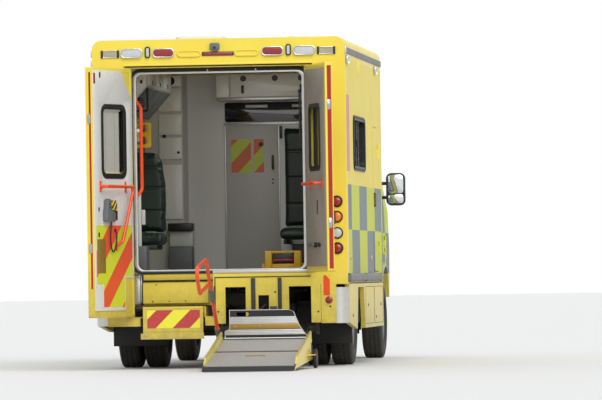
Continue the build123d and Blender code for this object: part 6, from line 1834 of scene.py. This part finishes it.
def place_camera():
    data = bpy.data.cameras.new("camera")
    data.lens = CAMERA_LENS
    data.sensor_width = 36.0
    data.clip_end = 400.0
    camera = bpy.data.objects.new("camera", data)
    bpy.context.scene.collection.objects.link(camera)
    cosine, sine = math.cos(CAMERA_TURN), math.sin(CAMERA_TURN)
    level = Vector((-sine, cosine, 0))
    right = Vector((cosine, sine, 0))
    up = Vector((0, 0, 1))
    ahead = level * math.cos(CAMERA_PITCH) + up * math.sin(CAMERA_PITCH)
    above = up * math.cos(CAMERA_PITCH) - level * math.sin(CAMERA_PITCH)
    side = right * math.cos(CAMERA_ROLL) + above * math.sin(CAMERA_ROLL)
    top = above * math.cos(CAMERA_ROLL) - right * math.sin(CAMERA_ROLL)
    turn = Matrix((side, top, -ahead)).transposed().to_4x4()
    camera.matrix_world = Matrix.Translation(CAMERA_PLACE) @ turn
    bpy.context.scene.camera = camera


FLOOR_HALF = 150.0


def make_floor():
    """A plain pale floor that fades into the white behind it."""
    shape = bmesh.new()
    bmesh.ops.create_grid(shape, x_segments=1, y_segments=1, size=FLOOR_HALF)
    mesh = bpy.data.meshes.new("floor")
    shape.to_mesh(mesh)
    shape.free()
    floor = bpy.data.objects.new("floor", mesh)
    bpy.context.scene.collection.objects.link(floor)
    mesh.materials.append(finished(start("pale_floor")[0], {"Base Color": "#e4e4e2", "Roughness": 0.9}))


LAMPS = (  # name, kind, place, what it points at, size in metres or degrees, strength
    ("key", "SUN", (6, REAR - 13, 13), (0, REAR + 1, 1.2), 50.0, 2.0),
    ("front", "SUN", (-6, REAR + 17, 9), (0, REAR + 4, 1.2), 60.0, 0.7),
    ("saloon", "AREA", (0.1, station(1.7), 2.52), (0.1, station(1.9), 0.8), 1.1, 7.0),
)
SKY_STRENGTH = 0.62


def light_scene():
    """The lamps, and a world that is white behind the object and softer on it."""
    for name, kind, place, target, size, strength in LAMPS:
        data = bpy.data.lights.new(name, kind)
        if kind == "SUN":
            data.angle = math.radians(size)
        else:
            data.size = size
        data.energy = strength
        lamp = bpy.data.objects.new(name, data)
        bpy.context.scene.collection.objects.link(lamp)
        lamp.location = place
        lamp.rotation_euler = (Vector(target) - Vector(place)).to_track_quat("-Z", "Y").to_euler()
    world = bpy.data.worlds.new("studio")
    bpy.context.scene.world = world
    world.use_nodes = True
    tree = world.node_tree
    tree.nodes.clear()
    rays = add(tree, "LightPath").outputs
    seen = add(tree, "Math", {0: rays["Is Camera Ray"], 1: rays["Is Glossy Ray"]}, operation="MAXIMUM")
    seen = add(tree, "Math", {0: seen, 1: rays["Is Transmission Ray"]}, operation="MAXIMUM")
    soft = add(tree, "Background", {"Color": "#eef1f4", "Strength": SKY_STRENGTH})
    white = add(tree, "Background", {"Color": "#ffffff", "Strength": 1.0})
    add(tree, "OutputWorld", {"Surface": add(tree, "MixShader", {0: seen, 1: soft, 2: white})})
    bpy.context.scene.view_settings.view_transform = "Standard"


place_camera()
make_floor()
light_scene()
